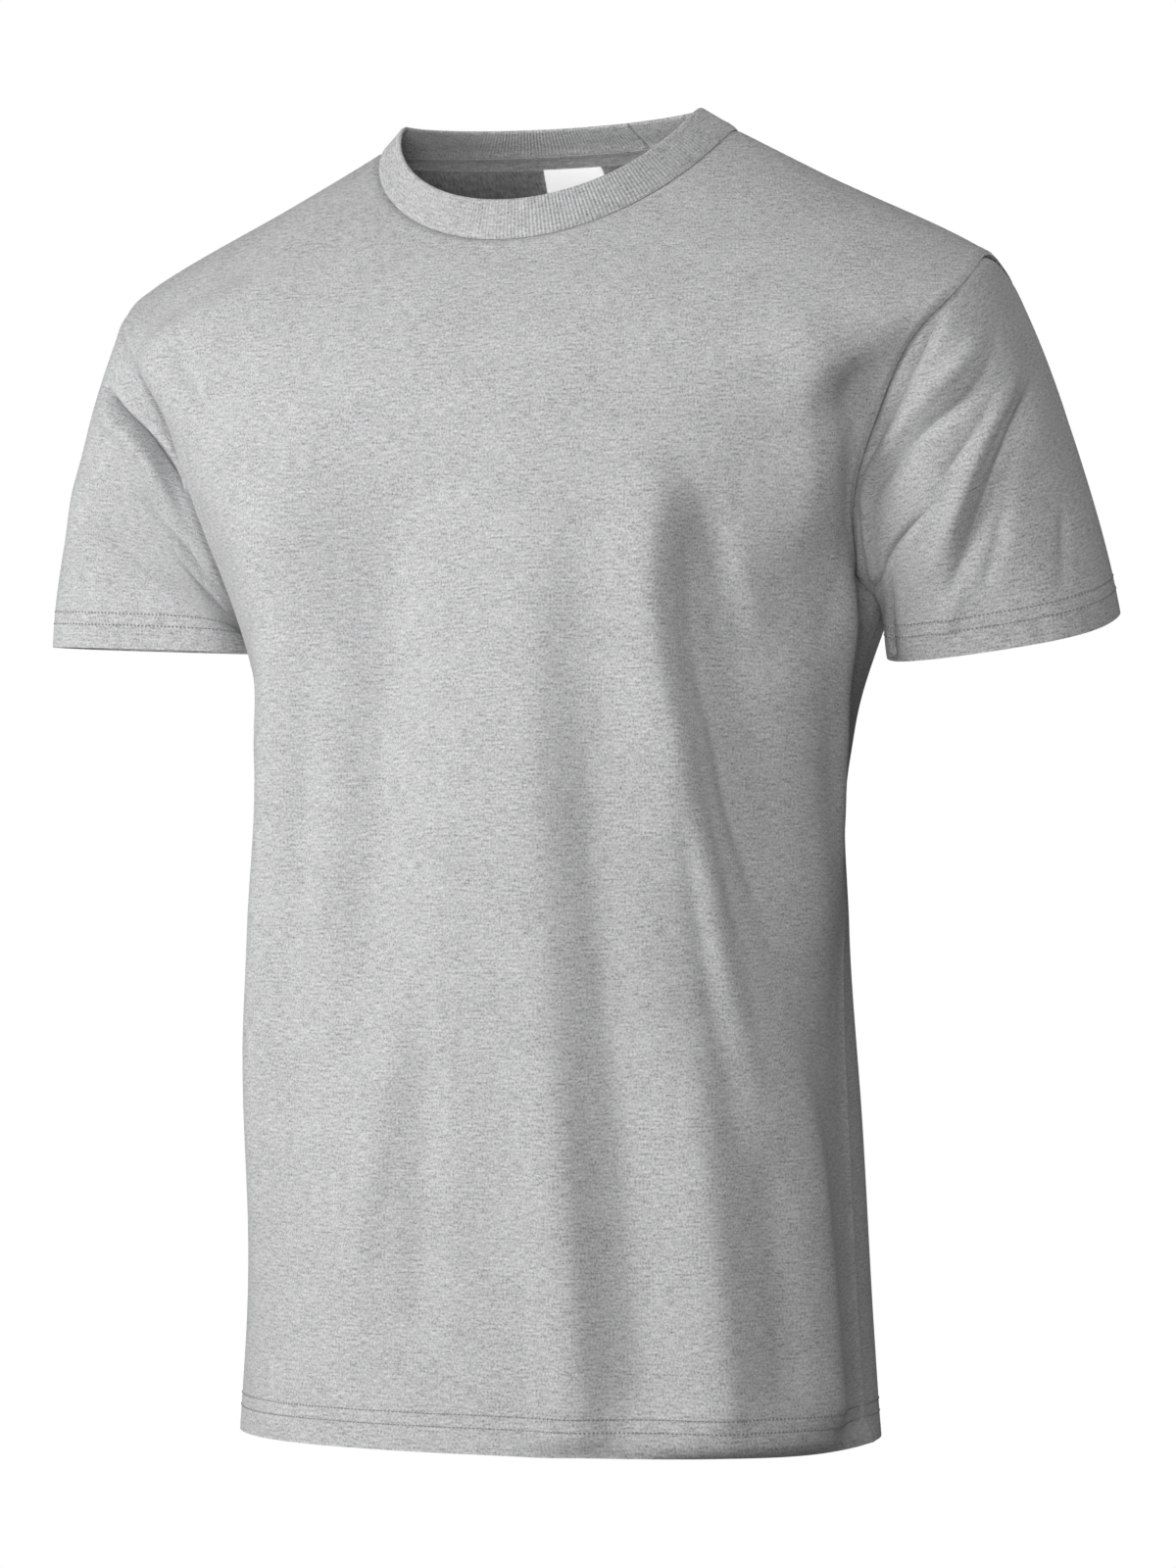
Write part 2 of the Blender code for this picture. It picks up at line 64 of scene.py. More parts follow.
SEAM_DEPTH = 0.0011  # how far cloth dips into a seam
NECK_SEAM_DEPTH = 0.0007
SIDE_SEAM_DEPTH = -0.0008  # negative where the seam stands up
SEAM_ROLL = 0.0003  # how far cloth rises beside a seam
LEFT_LAP = (0.0005, 0.0008)  # depth and roll of the body at the left armhole, over the sleeve
LEFT_DIP = (0.0024, 0.0)  # and of the left sleeve under it
SEAM_REACH = 0.0035  # how far from a seam the cloth rises most
SEAM_DIP_WIDTH = SEAM_REACH / 1.6
SEAM_ROLL_WIDTH = 0.0028

RIB_CLOTH = 0.0022  # the neckband is rib, folded double
BAND_RIBS = 300
RIB_POINTS = 6  # columns of points to a rib
RIB_RELIEF = 0.00038
FOLD_EDGE = 0.93  # height on the band, as a share, where it starts to round over
BAND_JOIN = 0.1775  # turn of the seam that closes the neckband
JOIN_DEPTH = 0.0015
JOIN_WIDTH = 0.0012  # in turns round the neck

TAPE_WIDTH = 0.010
TAPE_CLOTH = 0.0008
TAPE_INSET = 0.0005  # from the back's inner face
LABEL_WIDTH = 0.038
LABEL_LENGTH = 0.042
LABEL_CLOTH = 0.0004
LABEL_INSET = 0.0012
LABEL_BOW = 0.003  # how far its lower end hangs off the back
LABEL_TURN = 0.2545  # its middle, and how far it reaches to each side, in turns round the neck
LABEL_REACH = 0.0250

HEM_ROWS = (0.0130, 0.0195)  # heights of the twin needle's rows above the edge
HEM_STITCH = 0.0022  # from one stitch to the next
TAPE_STITCH = 0.0026
HEM_STITCH_LENGTH = 0.0011  # of the thread that shows, short and dark so that it also stands for the painted shade of the needle holes
TAPE_STITCH_LENGTH = 0.0024
TAPE_ROWS = (0.0012, TAPE_WIDTH - 0.0014)  # below the neck seam
THREAD = 0.0006

# Where each piece lies on the cloth, in metres, apart so that no two share its pattern.
BACK_PLACE, SLEEVE_PLACE, BAND_PLACE, LINING_PLACE = 2.0, 5.0, (8.0, 1.0), (11.0, 1.5)

# ---- The form of the body ----

# Each ring goes round the body. Its side is where the side and shoulder seams lie.
Ring = namedtuple(
    "Ring", "name half_width height front front_height back back_height middle fall square"
)
RINGS = (
    Ring("hem", 0.1695, -BODY_LENGTH, 0.124, -0.682, 0.120, -0.688, -0.014, 2.0, 0.10),
    Ring("hip", 0.1655, -0.623, 0.123, -0.621, 0.118, -0.620, -0.014, 2.0, 0.10),
    Ring("high hip", 0.161, -0.524, 0.1235, -0.5255, 0.111, -0.525, -0.016, 2.0, 0.10),
    Ring("waist", 0.155, -0.4185, 0.125, -0.423, 0.1035, -0.420, -0.019, 2.0, 0.10),
    Ring("midriff", 0.155, -0.330, 0.126, -0.330, 0.106, -0.335, -0.0175, 2.0, 0.10),
    Ring(
        "underarm", CHEST_HALF_WIDTH, UNDERARM_HEIGHT, 0.1255, -0.256, 0.119, -0.253, -0.010, 2.0, 0.10
    ),
    Ring("mid armhole", 0.224, -0.138, 0.1225, -0.216, 0.1225, -0.170, -0.010, 2.0, 0.06),
    Ring(
        "shoulder", SHOULDER_HALF_WIDTH, -SHOULDER_DROP, 0.111, -0.127, 0.113, -0.090, -0.0145, 2.0, 0.02
    ),
    Ring("yoke", 0.1445, -0.028, 0.092, -0.0855, 0.072, -0.049, -0.0135, 1.78, 0.0),
    Ring("neck", NECK_HALF_WIDTH, -0.0025, 0.0795, -0.0655, 0.0205, -0.0045, -0.0125, 1.16, 0.0),
)
BAND_EDGE = Ring("band edge", 0.0815, 0.008, 0.0645, -0.044, 0.020, 0.006, -0.025, 1.06, 0.0)
FALL_ROUND = 0.02  # rounds the fall of a ring where it leaves the sides
RING_NAMES = [ring.name for ring in RINGS]
RING_SIZES = np.array([ring[1:] for ring in RINGS])
FRONT_STEPS = np.hypot(np.diff(RING_SIZES[:, 2]), np.diff(RING_SIZES[:, 3]))
RING_RISE = np.concatenate([[0.0], np.cumsum(FRONT_STEPS)])
UNDERARM_RISE = RING_RISE[RING_NAMES.index("underarm")]
SHOULDER_RISE = RING_RISE[RING_NAMES.index("shoulder")]
NECK_RISE = RING_RISE[-1]


def smooth_rows(at, places, rows):
    """The rows of a table read smoothly at any place: a cubic curve through every row."""
    slopes = np.gradient(rows, places, axis=0)
    at = np.clip(at, places[0], places[-1])
    index = np.clip(np.searchsorted(places, at, side="right") - 1, 0, len(places) - 2)
    span = (places[index + 1] - places[index])[..., None]
    t = (at - places[index])[..., None] / span
    start = rows[index] * (1 + 2 * t) * (1 - t) ** 2 + slopes[index] * span * t * (1 - t) ** 2
    end = rows[index + 1] * t * t * (3 - 2 * t) - slopes[index + 1] * span * t * t * (1 - t)
    return start + end


def ring_points(sizes, turn):
    """Points round a ring. Turn 0 is the wearer's left side and 0.25 the middle of the back."""
    half_width, height, front, front_height, back, back_height, middle, fall, square = np.moveaxis(
        sizes, -1, 0
    )
    c, s = np.cos(2 * math.pi * turn), np.sin(2 * math.pi * turn)
    depth = np.where(s < 0, front, back)
    end_height = np.where(s < 0, front_height, back_height)
    half_fall = np.where(s < 0, fall, 2.0) / 2
    start, end = FALL_ROUND**half_fall, (1 + FALL_ROUND) ** half_fall
    fallen = ((s * s + FALL_ROUND) ** half_fall - start) / (end - start)
    x = half_width * c * (1 + square * s * s)
    y = middle + depth * s * (1 + square * c * c)
    z = height + (end_height - height) * fallen
    return np.stack([x, y, z], axis=-1)


def body_form(turn, rise):
    """Points of the body's form with no folds."""
    turn, rise = np.broadcast_arrays(np.asarray(turn, float), np.asarray(rise, float))
    return ring_points(smooth_rows(rise, RING_RISE, RING_SIZES), turn)


def unit(vectors):
    """Vectors at length 1."""
    return vectors / np.maximum(np.linalg.norm(vectors, axis=-1, keepdims=True), 1e-12)


def facing(surface, across, along, step=2e-4):
    """Normals of a surface function of two values, along the cross product of its two directions."""
    d_across = surface(across + step, along) - surface(across - step, along)
    d_along = surface(across, along + step) - surface(across, along - step)
    return unit(np.cross(d_across, d_along))


def smoothstep(value):
    """0 at 0 and below, 1 at 1 and above, and smooth between."""
    value = np.clip(value, 0.0, 1.0)
    return value * value * (3 - 2 * value)


# ---- Folds ----

# A fold runs from its start through its middle to its end. Across and up place it on the cloth,
# height is positive for a ridge and negative for a trough, and width is half its breadth. It fades
# in and out over these shares of its length. Lean makes the side to the left of its run steeper
# where negative, and sharp turns its round profile into a pointed one.
Fold = namedtuple(
    "Fold", "name x0 up0 x1 up1 x2 up2 width height fade_in fade_out lean sharp", defaults=(0.0, 0.0)
)
# Across is round the body from the middle of the panel, positive to the wearer's left, and up is
# from the hem.
FRONT_FOLDS = (
    Fold("chest drape", 0.036, 0.510, 0.090, 0.380, 0.136, 0.190, 0.0130, 0.0105, 0.30, 0.40, -0.40),
    Fold("beside chest drape", 0.062, 0.468, 0.119, 0.374, 0.168, 0.220, 0.0120, -0.0098, 0.20, 0.35, 0.35),
    Fold("chest crease", 0.102, 0.350, 0.113, 0.255, 0.132, 0.110, 0.0060, -0.0020, 0.35, 0.40),
    Fold("beside chest crease", 0.112, 0.330, 0.125, 0.250, 0.152, 0.130, 0.0065, 0.0020, 0.35, 0.40),
    Fold("armpit drape", 0.070, 0.474, 0.106, 0.436, 0.150, 0.402, 0.0080, 0.0030, 0.35, 0.30, -0.30),
    Fold("under armpit drape", 0.076, 0.460, 0.110, 0.425, 0.152, 0.390, 0.0070, -0.0030, 0.35, 0.30),
    Fold("low drape", 0.102, 0.220, 0.108, 0.120, 0.114, 0.000, 0.0130, 0.0044, 0.35, 0.10, -0.15),
    Fold("beside low drape", 0.134, 0.160, 0.142, 0.100, 0.148, 0.010, 0.0115, -0.0040, 0.35, 0.20),
    Fold("left side drape", 0.158, 0.230, 0.174, 0.120, 0.180, 0.000, 0.0200, 0.0085, 0.50, 0.10, -0.20),
    Fold("left hem hollow", 0.228, 0.300, 0.226, 0.140, 0.226, 0.000, 0.0300, -0.0045, 0.50, 0.05),
    Fold("middle roll", 0.016, 0.560, 0.029, 0.340, 0.042, 0.000, 0.0155, 0.0038, 0.35, 0.05, -0.25),
    Fold("low middle roll", 0.033, 0.260, 0.040, 0.120, 0.046, 0.000, 0.0145, 0.0050, 0.45, 0.05, -0.25),
    Fold("middle hollow", 0.054, 0.440, 0.064, 0.240, 0.078, 0.000, 0.0140, -0.0042, 0.40, 0.10, 0.25),
    Fold("right hollow", -0.006, 0.520, -0.048, 0.380, -0.052, 0.100, 0.0230, -0.0125, 0.35, 0.35),
    Fold("right roll", -0.050, 0.500, -0.126, 0.350, -0.142, 0.040, 0.0260, 0.0110, 0.25, 0.25, -0.20),
    Fold("right side crease", -0.088, 0.415, -0.100, 0.300, -0.108, 0.170, 0.0100, -0.0030, 0.35, 0.40),
    Fold("low right roll", -0.036, 0.260, -0.048, 0.160, -0.062, 0.050, 0.0110, 0.0036, 0.35, 0.35, -0.30),
    Fold("low middle hollow", -0.022, 0.240, -0.024, 0.140, -0.026, 0.030, 0.0090, -0.0034, 0.35, 0.30),
    Fold("right chest hollow", -0.085, 0.560, -0.092, 0.500, -0.088, 0.440, 0.0200, -0.0040, 0.40, 0.40),
    Fold("right armhole roll", -0.112, 0.590, -0.130, 0.530, -0.142, 0.450, 0.0130, 0.0050, 0.40, 0.30),
    Fold("right armhole crease", -0.136, 0.566, -0.116, 0.530, -0.110, 0.490, 0.0060, -0.0030, 0.35, 0.35),
    Fold("armhole roll", 0.102, 0.570, 0.116, 0.484, 0.160, 0.432, 0.0110, 0.0046, 0.30, 0.30),
    Fold("armpit hollow", 0.118, 0.510, 0.150, 0.460, 0.232, 0.424, 0.0100, -0.0125, 0.35, 0.12),
    Fold("side roll", 0.170, 0.430, 0.206, 0.385, 0.230, 0.240, 0.0130, 0.0080, 0.30, 0.30),
    Fold("broad side roll", 0.156, 0.440, 0.186, 0.340, 0.206, 0.190, 0.0290, 0.0105, 0.30, 0.35),
    Fold("broad low roll", 0.116, 0.280, 0.130, 0.140, 0.134, 0.000, 0.0500, 0.0115, 0.60, 0.02),
)
BACK_FOLDS = (
    Fold("left blade drape", 0.085, 0.520, 0.080, 0.400, 0.062, 0.240, 0.020, -0.0087, 0.40, 0.45),
    Fold("beside left blade", 0.060, 0.500, 0.052, 0.380, 0.038, 0.220, 0.013, 0.0043, 0.40, 0.45),
    Fold("right blade drape", -0.080, 0.510, -0.076, 0.380, -0.052, 0.200, 0.020, -0.0087, 0.40, 0.45),
    Fold("beside right blade", -0.104, 0.480, -0.100, 0.360, -0.080, 0.200, 0.013, 0.0043, 0.40, 0.45),
    Fold("left armpit drape", 0.165, 0.430, 0.130, 0.370, 0.090, 0.300, 0.015, -0.0072, 0.35, 0.45),
    Fold("left armpit roll", 0.150, 0.400, 0.125, 0.335, 0.100, 0.260, 0.011, 0.0043, 0.35, 0.45),
    Fold("right armpit drape", -0.165, 0.435, -0.125, 0.365, -0.085, 0.310, 0.015, -0.0072, 0.35, 0.45),
    Fold("right armpit roll", -0.150, 0.390, -0.120, 0.330, -0.095, 0.270, 0.011, 0.0043, 0.35, 0.45),
    Fold("left seat roll", 0.070, 0.330, 0.090, 0.180, 0.105, 0.000, 0.020, 0.0072, 0.45, 0.10),
    Fold("left seat hollow", 0.120, 0.260, 0.135, 0.140, 0.140, 0.020, 0.014, -0.0043, 0.40, 0.20),
    Fold("middle hollow", 0.004, 0.400, -0.004, 0.260, 0.006, 0.060, 0.024, -0.0087, 0.40, 0.40),
    Fold("middle seat roll", -0.030, 0.240, -0.034, 0.120, -0.026, 0.000, 0.014, 0.0043, 0.40, 0.10),
    Fold("right seat roll", -0.082, 0.310, -0.098, 0.160, -0.120, 0.000, 0.020, 0.0072, 0.45, 0.10),
)
# Across is round the sleeve from its top, positive to the back, and up is from the cuff.
LEFT_SLEEVE_FOLDS = (
    Fold("cap crease", -0.008, 0.130, -0.066, 0.106, -0.101, 0.036, 0.0063, -0.0061, 0.35, 0.25, 0.45),
    Fold("over cap crease", -0.018, 0.142, -0.074, 0.120, -0.110, 0.050, 0.0059, 0.0039, 0.35, 0.30, -0.30),
    Fold("long diagonal", -0.030, 0.172, -0.087, 0.149, -0.142, 0.192, 0.0052, -0.0042, 0.35, 0.20),
    Fold("over long diagonal", -0.036, 0.184, -0.086, 0.166, -0.130, 0.196, 0.0052, 0.0030, 0.35, 0.30),
    Fold("faint diagonal", -0.050, 0.146, -0.078, 0.126, -0.104, 0.118, 0.0044, -0.0017, 0.35, 0.35),
    Fold("armpit crease", -0.160, 0.158, -0.138, 0.123, -0.102, 0.103, 0.0038, -0.0052, 0.25, 0.35, 0.0, 0.3),
    Fold("seam roll", -0.120, 0.196, -0.146, 0.166, -0.156, 0.120, 0.0044, 0.0032, 0.30, 0.30),
    Fold("seam hollow", -0.060, 0.200, -0.098, 0.188, -0.134, 0.198, 0.0043, -0.0042, 0.30, 0.20),
    Fold("inner edge hollow", -0.139, 0.110, -0.143, 0.055, -0.144, 0.000, 0.0052, -0.0042, 0.35, 0.05, 0.30),
    Fold("front drape", -0.062, 0.096, -0.076, 0.064, -0.087, 0.030, 0.0041, -0.0022, 0.35, 0.35),
    Fold("outer drape", -0.028, 0.074, -0.040, 0.048, -0.048, 0.020, 0.0048, -0.0020, 0.40, 0.35),
    Fold("cuff drape", -0.094, 0.050, -0.100, 0.032, -0.108, 0.010, 0.0052, 0.0017, 0.40, 0.30),
    Fold("back drape", 0.040, 0.130, 0.080, 0.095, 0.115, 0.050, 0.0140, -0.0060, 0.30, 0.30),
    Fold("back roll", 0.050, 0.100, 0.085, 0.070, 0.110, 0.030, 0.0110, 0.0035, 0.35, 0.30),
    Fold("back seam hollow", 0.070, 0.160, 0.110, 0.140, 0.145, 0.110, 0.0100, -0.0040, 0.35, 0.25),
)
RIGHT_SLEEVE_FOLDS = (
    Fold("cap crease", -0.058, 0.172, -0.094, 0.176, -0.125, 0.199, 0.0028, -0.0090, 0.25, 0.06, 0.0, 0.8),
    Fold("under cap crease", -0.054, 0.160, -0.094, 0.162, -0.132, 0.184, 0.0070, 0.0040, 0.35, 0.25),
    Fold("armpit drape", -0.108, 0.128, -0.128, 0.154, -0.146, 0.184, 0.0060, -0.0024, 0.35, 0.25),
    Fold("soft drape", -0.130, 0.120, -0.148, 0.146, -0.162, 0.172, 0.0080, -0.0024, 0.40, 0.30),
    Fold("cuff drape", -0.060, 0.085, -0.085, 0.065, -0.110, 0.035, 0.0120, -0.0027, 0.40, 0.40),
    Fold("top roll", -0.020, 0.110, -0.050, 0.085, -0.070, 0.040, 0.0160, 0.0014, 0.40, 0.40),
    Fold("back drape", 0.040, 0.130, 0.080, 0.095, 0.115, 0.050, 0.0140, -0.0060, 0.30, 0.30),
    Fold("back roll", 0.055, 0.100, 0.088, 0.068, 0.112, 0.028, 0.0110, 0.0035, 0.35, 0.30),
    Fold("back seam hollow", 0.070, 0.160, 0.108, 0.142, 0.142, 0.115, 0.0100, -0.0040, 0.35, 0.25),
)
FOLD_PARTS = 24  # straight parts that a fold's curve is read in
FOLD_REACH = 3.2  # widths from its line where a fold no longer lifts the cloth
POINT_FALL, POINT_ROUND = 1.6, 0.2  # how fast a pointed fold falls off, and how round its point is


def fold_path(fold):
    """Points along a fold, on a curve through its start, middle and end."""
    t = np.linspace(0, 1, FOLD_PARTS + 1)
    start, middle, end = (1 - t) * (1 - 2 * t), 4 * t * (1 - t), t * (2 * t - 1)
    across = fold.x0 * start + fold.x1 * middle + fold.x2 * end
    up = fold.up0 * start + fold.up1 * middle + fold.up2 * end
    return np.stack([across, up], axis=-1)


def from_path(path, points):
    """How far points lie from a path, on which side, and how far along it."""
    nearest = np.full(len(points), 1e9)
    side, along = np.zeros(len(points)), np.zeros(len(points))
    for index, (start, end) in enumerate(zip(path[:-1], path[1:])):
        run = end - start
        t = np.clip((points - start) @ run / (run @ run), 0, 1)
        offset = points - start - t[:, None] * run
        away = np.hypot(offset[:, 0], offset[:, 1])
        closer = away < nearest
        nearest[closer] = away[closer]
        side[closer] = np.sign(run[0] * offset[closer, 1] - run[1] * offset[closer, 0])
        along[closer] = (index + t[closer]) / (len(path) - 1)
    return nearest, side, along


def fold_lift(folds, across, up):
    """How far the folds lift the cloth at each place."""
    lift = np.zeros(across.size)
    points = np.stack([across.ravel(), up.ravel()], axis=-1)
    for fold in folds:
        path = fold_path(fold)
        reach = FOLD_REACH * fold.width * (1 + abs(fold.lean))
        near = ((points > path.min(axis=0) - reach) & (points < path.max(axis=0) + reach)).all(axis=1)
        away, side, along = from_path(path, points[near])
        width = fold.width * (1 + fold.lean * np.tanh(side * away / fold.width))
        fade = smoothstep(along / fold.fade_in) * smoothstep((1 - along) / fold.fade_out)
        round_shape = np.exp(-((away / width) ** 2))
        from_point = np.sqrt((away / width) ** 2 + POINT_ROUND**2) - POINT_ROUND
        pointed = np.exp(-POINT_FALL * from_point)
        lift[near] += fold.height * fade * (round_shape * (1 - fold.sharp) + pointed * fold.sharp)
    return lift.reshape(across.shape)


def body_surface(turn, rise):
    """The inner face of the front and back, with their folds."""
    turn, rise = np.broadcast_arrays(np.asarray(turn, float), np.asarray(rise, float))
    from_front = (np.mod(turn - 0.25, 1.0) - 0.5) * GIRTH
    from_back = (np.mod(turn + 0.25, 1.0) - 0.5) * GIRTH
    lift = fold_lift(FRONT_FOLDS, from_front, rise) + fold_lift(BACK_FOLDS, -from_back, rise)
    return body_form(turn, rise) + facing(body_form, turn, rise) * lift[..., None]


# ---- Sleeves ----

# A cuff is an oval round its middle. Tip out raises its outer side, and tip back its back.
Cuff = namedtuple("Cuff", "x y z half_width half_depth tip_out tip_back")
LEFT_CUFF = Cuff(0.2370, 0.004, -0.268, 0.0585, 0.045, 0.12, 0.26)
RIGHT_CUFF = Cuff(0.2375, 0.000, -0.267, 0.0590, 0.042, 0.045, 0.03)
CUFF_SQUARE = 0.20  # how square the oval is
SLEEVE_GIRTH = 0.36
SLEEVE_LENGTH = 0.20
SLEEVE_SLACK = 0.04  # extra cloth that bows out under the arm
TOP_LEAVES = (0.265, 0.230, -0.810)  # which way the sleeve leaves the seam, at the shoulder
UNDER_LEAVES = (0.800, -0.250, -0.450)  # and under the arm
FLARE = 0.18  # how far front and back also leave forwards and backwards
FOLDS_START = 0.035  # share of the sleeve over which its folds rise from the armhole


def armhole_edge(side, w):
    """Turn and rise of the armhole. W goes from the underarm up the front and down the back."""
    angle = 2 * math.pi * w
    deepest = np.where(np.sin(angle) > 0, ARMHOLE_CUT_FRONT, ARMHOLE_CUT_BACK)
    turn = -deepest * np.sin(angle)
    rise = UNDERARM_RISE + (SHOULDER_RISE - UNDERARM_RISE) * (1 - np.cos(angle)) / 2
    return (turn if side > 0 else 0.5 - turn), rise


def cuff_edge(side, w):
    """Points round the cuff, and which way the sleeve points there."""
    cuff = LEFT_CUFF if side > 0 else RIGHT_CUFF
    angle = 2 * math.pi * w[..., None]
    out = np.array([math.cos(cuff.tip_out), 0.0, math.sin(cuff.tip_out)])
    front = np.array([0.0, -math.cos(cuff.tip_back), -math.sin(cuff.tip_back)])
    c, s = np.cos(angle), np.sin(angle)
    edge = np.array([cuff.x, cuff.y, cuff.z]) - out * cuff.half_width * c * (1 + CUFF_SQUARE * s * s)
    edge = edge + front * cuff.half_depth * s * (1 + CUFF_SQUARE * c * c)
    mirror = np.array([side, 1, 1])
    return edge * mirror, unit(np.cross(front, out)) * -mirror


def sleeve_form(side, w, s):
    """A sleeve with no folds, from its armhole at s 0 to its cuff at s 1."""
    start = body_surface(*armhole_edge(side, w))
    end, pointing = cuff_edge(side, w)
    top = (1 - np.cos(2 * math.pi * w[..., None])) / 2
    leaving = np.array(TOP_LEAVES) * top + np.array(UNDER_LEAVES) * (1 - top)
    leaving[..., 1] -= FLARE * np.sin(2 * math.pi * w)
    leaving = unit(leaving) * np.array([side, 1, 1])
    length = np.linalg.norm(end - start, axis=-1, keepdims=True)
    t = s[..., None]
    return (
        start * (1 + 2 * t) * (1 - t) ** 2
        + leaving * (length + SLEEVE_SLACK * (1 - top)) * t * (1 - t) ** 2
        + end * t * t * (3 - 2 * t)
        - pointing * length * t * t * (1 - t)
    )


def sleeve_surface(side):
    """The inner face of a sleeve with its folds, as a function of w and s."""
    folds = LEFT_SLEEVE_FOLDS if side > 0 else RIGHT_SLEEVE_FOLDS

    def plain(w, s):
        return sleeve_form(side, w, s)

    def surface(w, s):
        w, s = np.broadcast_arrays(np.asarray(w, float), np.asarray(s, float))
        across = (np.mod(w, 1.0) - 0.5) * SLEEVE_GIRTH
        lift = fold_lift(folds, across, (1 - s) * SLEEVE_LENGTH) * smoothstep(s / FOLDS_START)
        return plain(w, s) - facing(plain, w, s) * side * lift[..., None]

    return surface


# ---- Seams ----

# Points along a seam, and the way out of the cloth there, which both its pieces share.
Seam = namedtuple("Seam", "points out depth roll", defaults=(SEAM_DEPTH, SEAM_ROLL))


def armhole_seam(side):
    """Where a sleeve meets the body."""
    w = np.linspace(0, 1, 1200, endpoint=False)
    surface = sleeve_surface(side)
    body = facing(body_surface, *armhole_edge(side, w))
    sleeve = facing(surface, w, np.full_like(w, 0.004)) * -side
    dip = LEFT_DIP if side > 0 else (SEAM_DEPTH, SEAM_ROLL)
    return Seam(surface(w, np.zeros_like(w)), unit(body + sleeve), *dip)


def body_seam(turn, low, high, depth):
    """A side or shoulder seam, between two rises of the body."""
    rise = np.linspace(low, high, 900)
    return Seam(body_surface(turn, rise), facing(body_surface, np.full_like(rise, turn), rise), depth)


def neck_seam():
    """Where the neckband meets the body."""
    turn = np.linspace(0, 1, 1400, endpoint=False)
    rise = np.full_like(turn, NECK_RISE)
    body = facing(body_surface, turn, rise - 0.001)
    band = facing(band_surface, turn, np.full_like(turn, 0.01))
    return Seam(body_form(turn, rise), unit(body + band), NECK_SEAM_DEPTH)


def nearest_on(seams, points):
    """How far each point lies from the nearest seam, and the seam's way out, depth and roll there."""
    spots = np.concatenate([seam.points for seam in seams])
    outs = np.concatenate([seam.out for seam in seams])
    sizes = np.concatenate(
        [np.full((len(seam.points), 2), (seam.depth, seam.roll)) for seam in seams]
    )
    tree = KDTree(len(spots))
    for index, spot in enumerate(spots):
        tree.insert(spot, index)
    tree.balance()
    found = [tree.find(point) for point in points.reshape(-1, 3)]
    nearest = [hit[1] for hit in found]
    away = np.array([hit[2] for hit in found]).reshape(points.shape[:-1])
    depth, roll = sizes[nearest].reshape(*away.shape, 2).transpose(2, 0, 1)
    return away, outs[nearest].reshape(points.shape), depth, roll


def sewn(surface, out, seams):
    """A sheet's inner points and its way out, dipped into the seams and turned to meet them."""
    away, seam_out, depth, roll = nearest_on(seams, surface)
    blend = smoothstep(away / (2 * SEAM_REACH))[..., None]
    out = unit(seam_out * (1 - blend) + out * blend)
    dip = depth * np.exp(-((away / SEAM_DIP_WIDTH) ** 2))
    roll = roll * np.exp(-(((away - SEAM_REACH) / SEAM_ROLL_WIDTH) ** 2))
    return surface - out * (dip - roll)[..., None], out


# ---- Walls and pieces ----


def grid_corners(rows, columns, closed):
    """The four corners of every quad of a sheet, as rows and columns. Closed sheets wrap."""
    row, column = np.meshgrid(
        np.arange(rows - 1), np.arange(columns if closed else columns - 1), indexing="ij"
    )
    row, column = row.ravel(), column.ravel()
    rows_round = np.stack([row, row, row + 1, row + 1], 1)
    return rows_round, np.stack([column, column + 1, column + 1, column], 1)


def rim_corners(rows, columns, closed):
    """The rim between a wall's two sheets, as rows and columns of its points in order."""
    ends = columns if closed else columns - 1
    bottom = [((0, c), (0, c + 1)) for c in range(ends)]
    top = [((rows - 1, c + 1), (rows - 1, c)) for c in range(ends)]
    if closed:
        return bottom + top
    right = [((r, columns - 1), (r + 1, columns - 1)) for r in range(rows - 1)]
    left = [((r + 1, 0), (r, 0)) for r in range(rows - 1)]
    return bottom + right + top + left


def add_wall(name, inner, outer, cloth, material, closed=False):
    """A shell between two sheets of points. Cloth is its UV map: places on the cut piece in metres."""
    rows, columns = outer.shape[:2]
    count = rows * columns
    row, column = grid_corners(rows, columns, closed)
    rims = np.array(rim_corners(rows, columns, closed))
    rim_row = rims[:, [1, 0, 0, 1], 0]
    rim_column = rims[:, [1, 0, 0, 1], 1]
    faces_row = np.concatenate([row, row[:, ::-1], rim_row])
    faces_column = np.concatenate([column, column[:, ::-1], rim_column])
    faces = faces_row * columns + faces_column % columns
    faces[len(row) : 2 * len(row)] += count
    faces[2 * len(row) :, 2:] += count
    points = np.concatenate([outer.reshape(-1, 3), inner.reshape(-1, 3)])
    return add_piece(name, points, faces, cloth[faces_row, faces_column], material)


def add_sheet(name, points, cloth, material):
    """A sheet that closes on itself round its rows."""
    rows, columns = points.shape[:2]
    row, column = grid_corners(rows, columns, True)
    faces = row * columns + column % columns
    return add_piece(name, points.reshape(-1, 3), faces, cloth[row, column], material)


def add_piece(name, points, faces, places, material):
    """A mesh of quads with a place on the cloth for each of their corners."""
    mesh = bpy.data.meshes.new(name)
    mesh.vertices.add(len(points))
    mesh.vertices.foreach_set("co", points.ravel())
    mesh.loops.add(faces.size)
    mesh.loops.foreach_set("vertex_index", faces.ravel().astype(np.int32))
    mesh.polygons.add(len(faces))
    mesh.polygons.foreach_set("loop_start", np.arange(0, faces.size, 4, dtype=np.int32))
    mesh.uv_layers.new(name="cloth")
    mesh.uv_layers["cloth"].data.foreach_set("uv", places.ravel())
    mesh.update(calc_edges=True)
    mesh.validate()
    mesh.shade_smooth()
    mesh.set_sharp_from_angle(angle=math.radians(60))
    mesh.materials.append(material)
    piece = bpy.data.objects.new(name, mesh)
    bpy.context.scene.collection.objects.link(piece)
    return piece


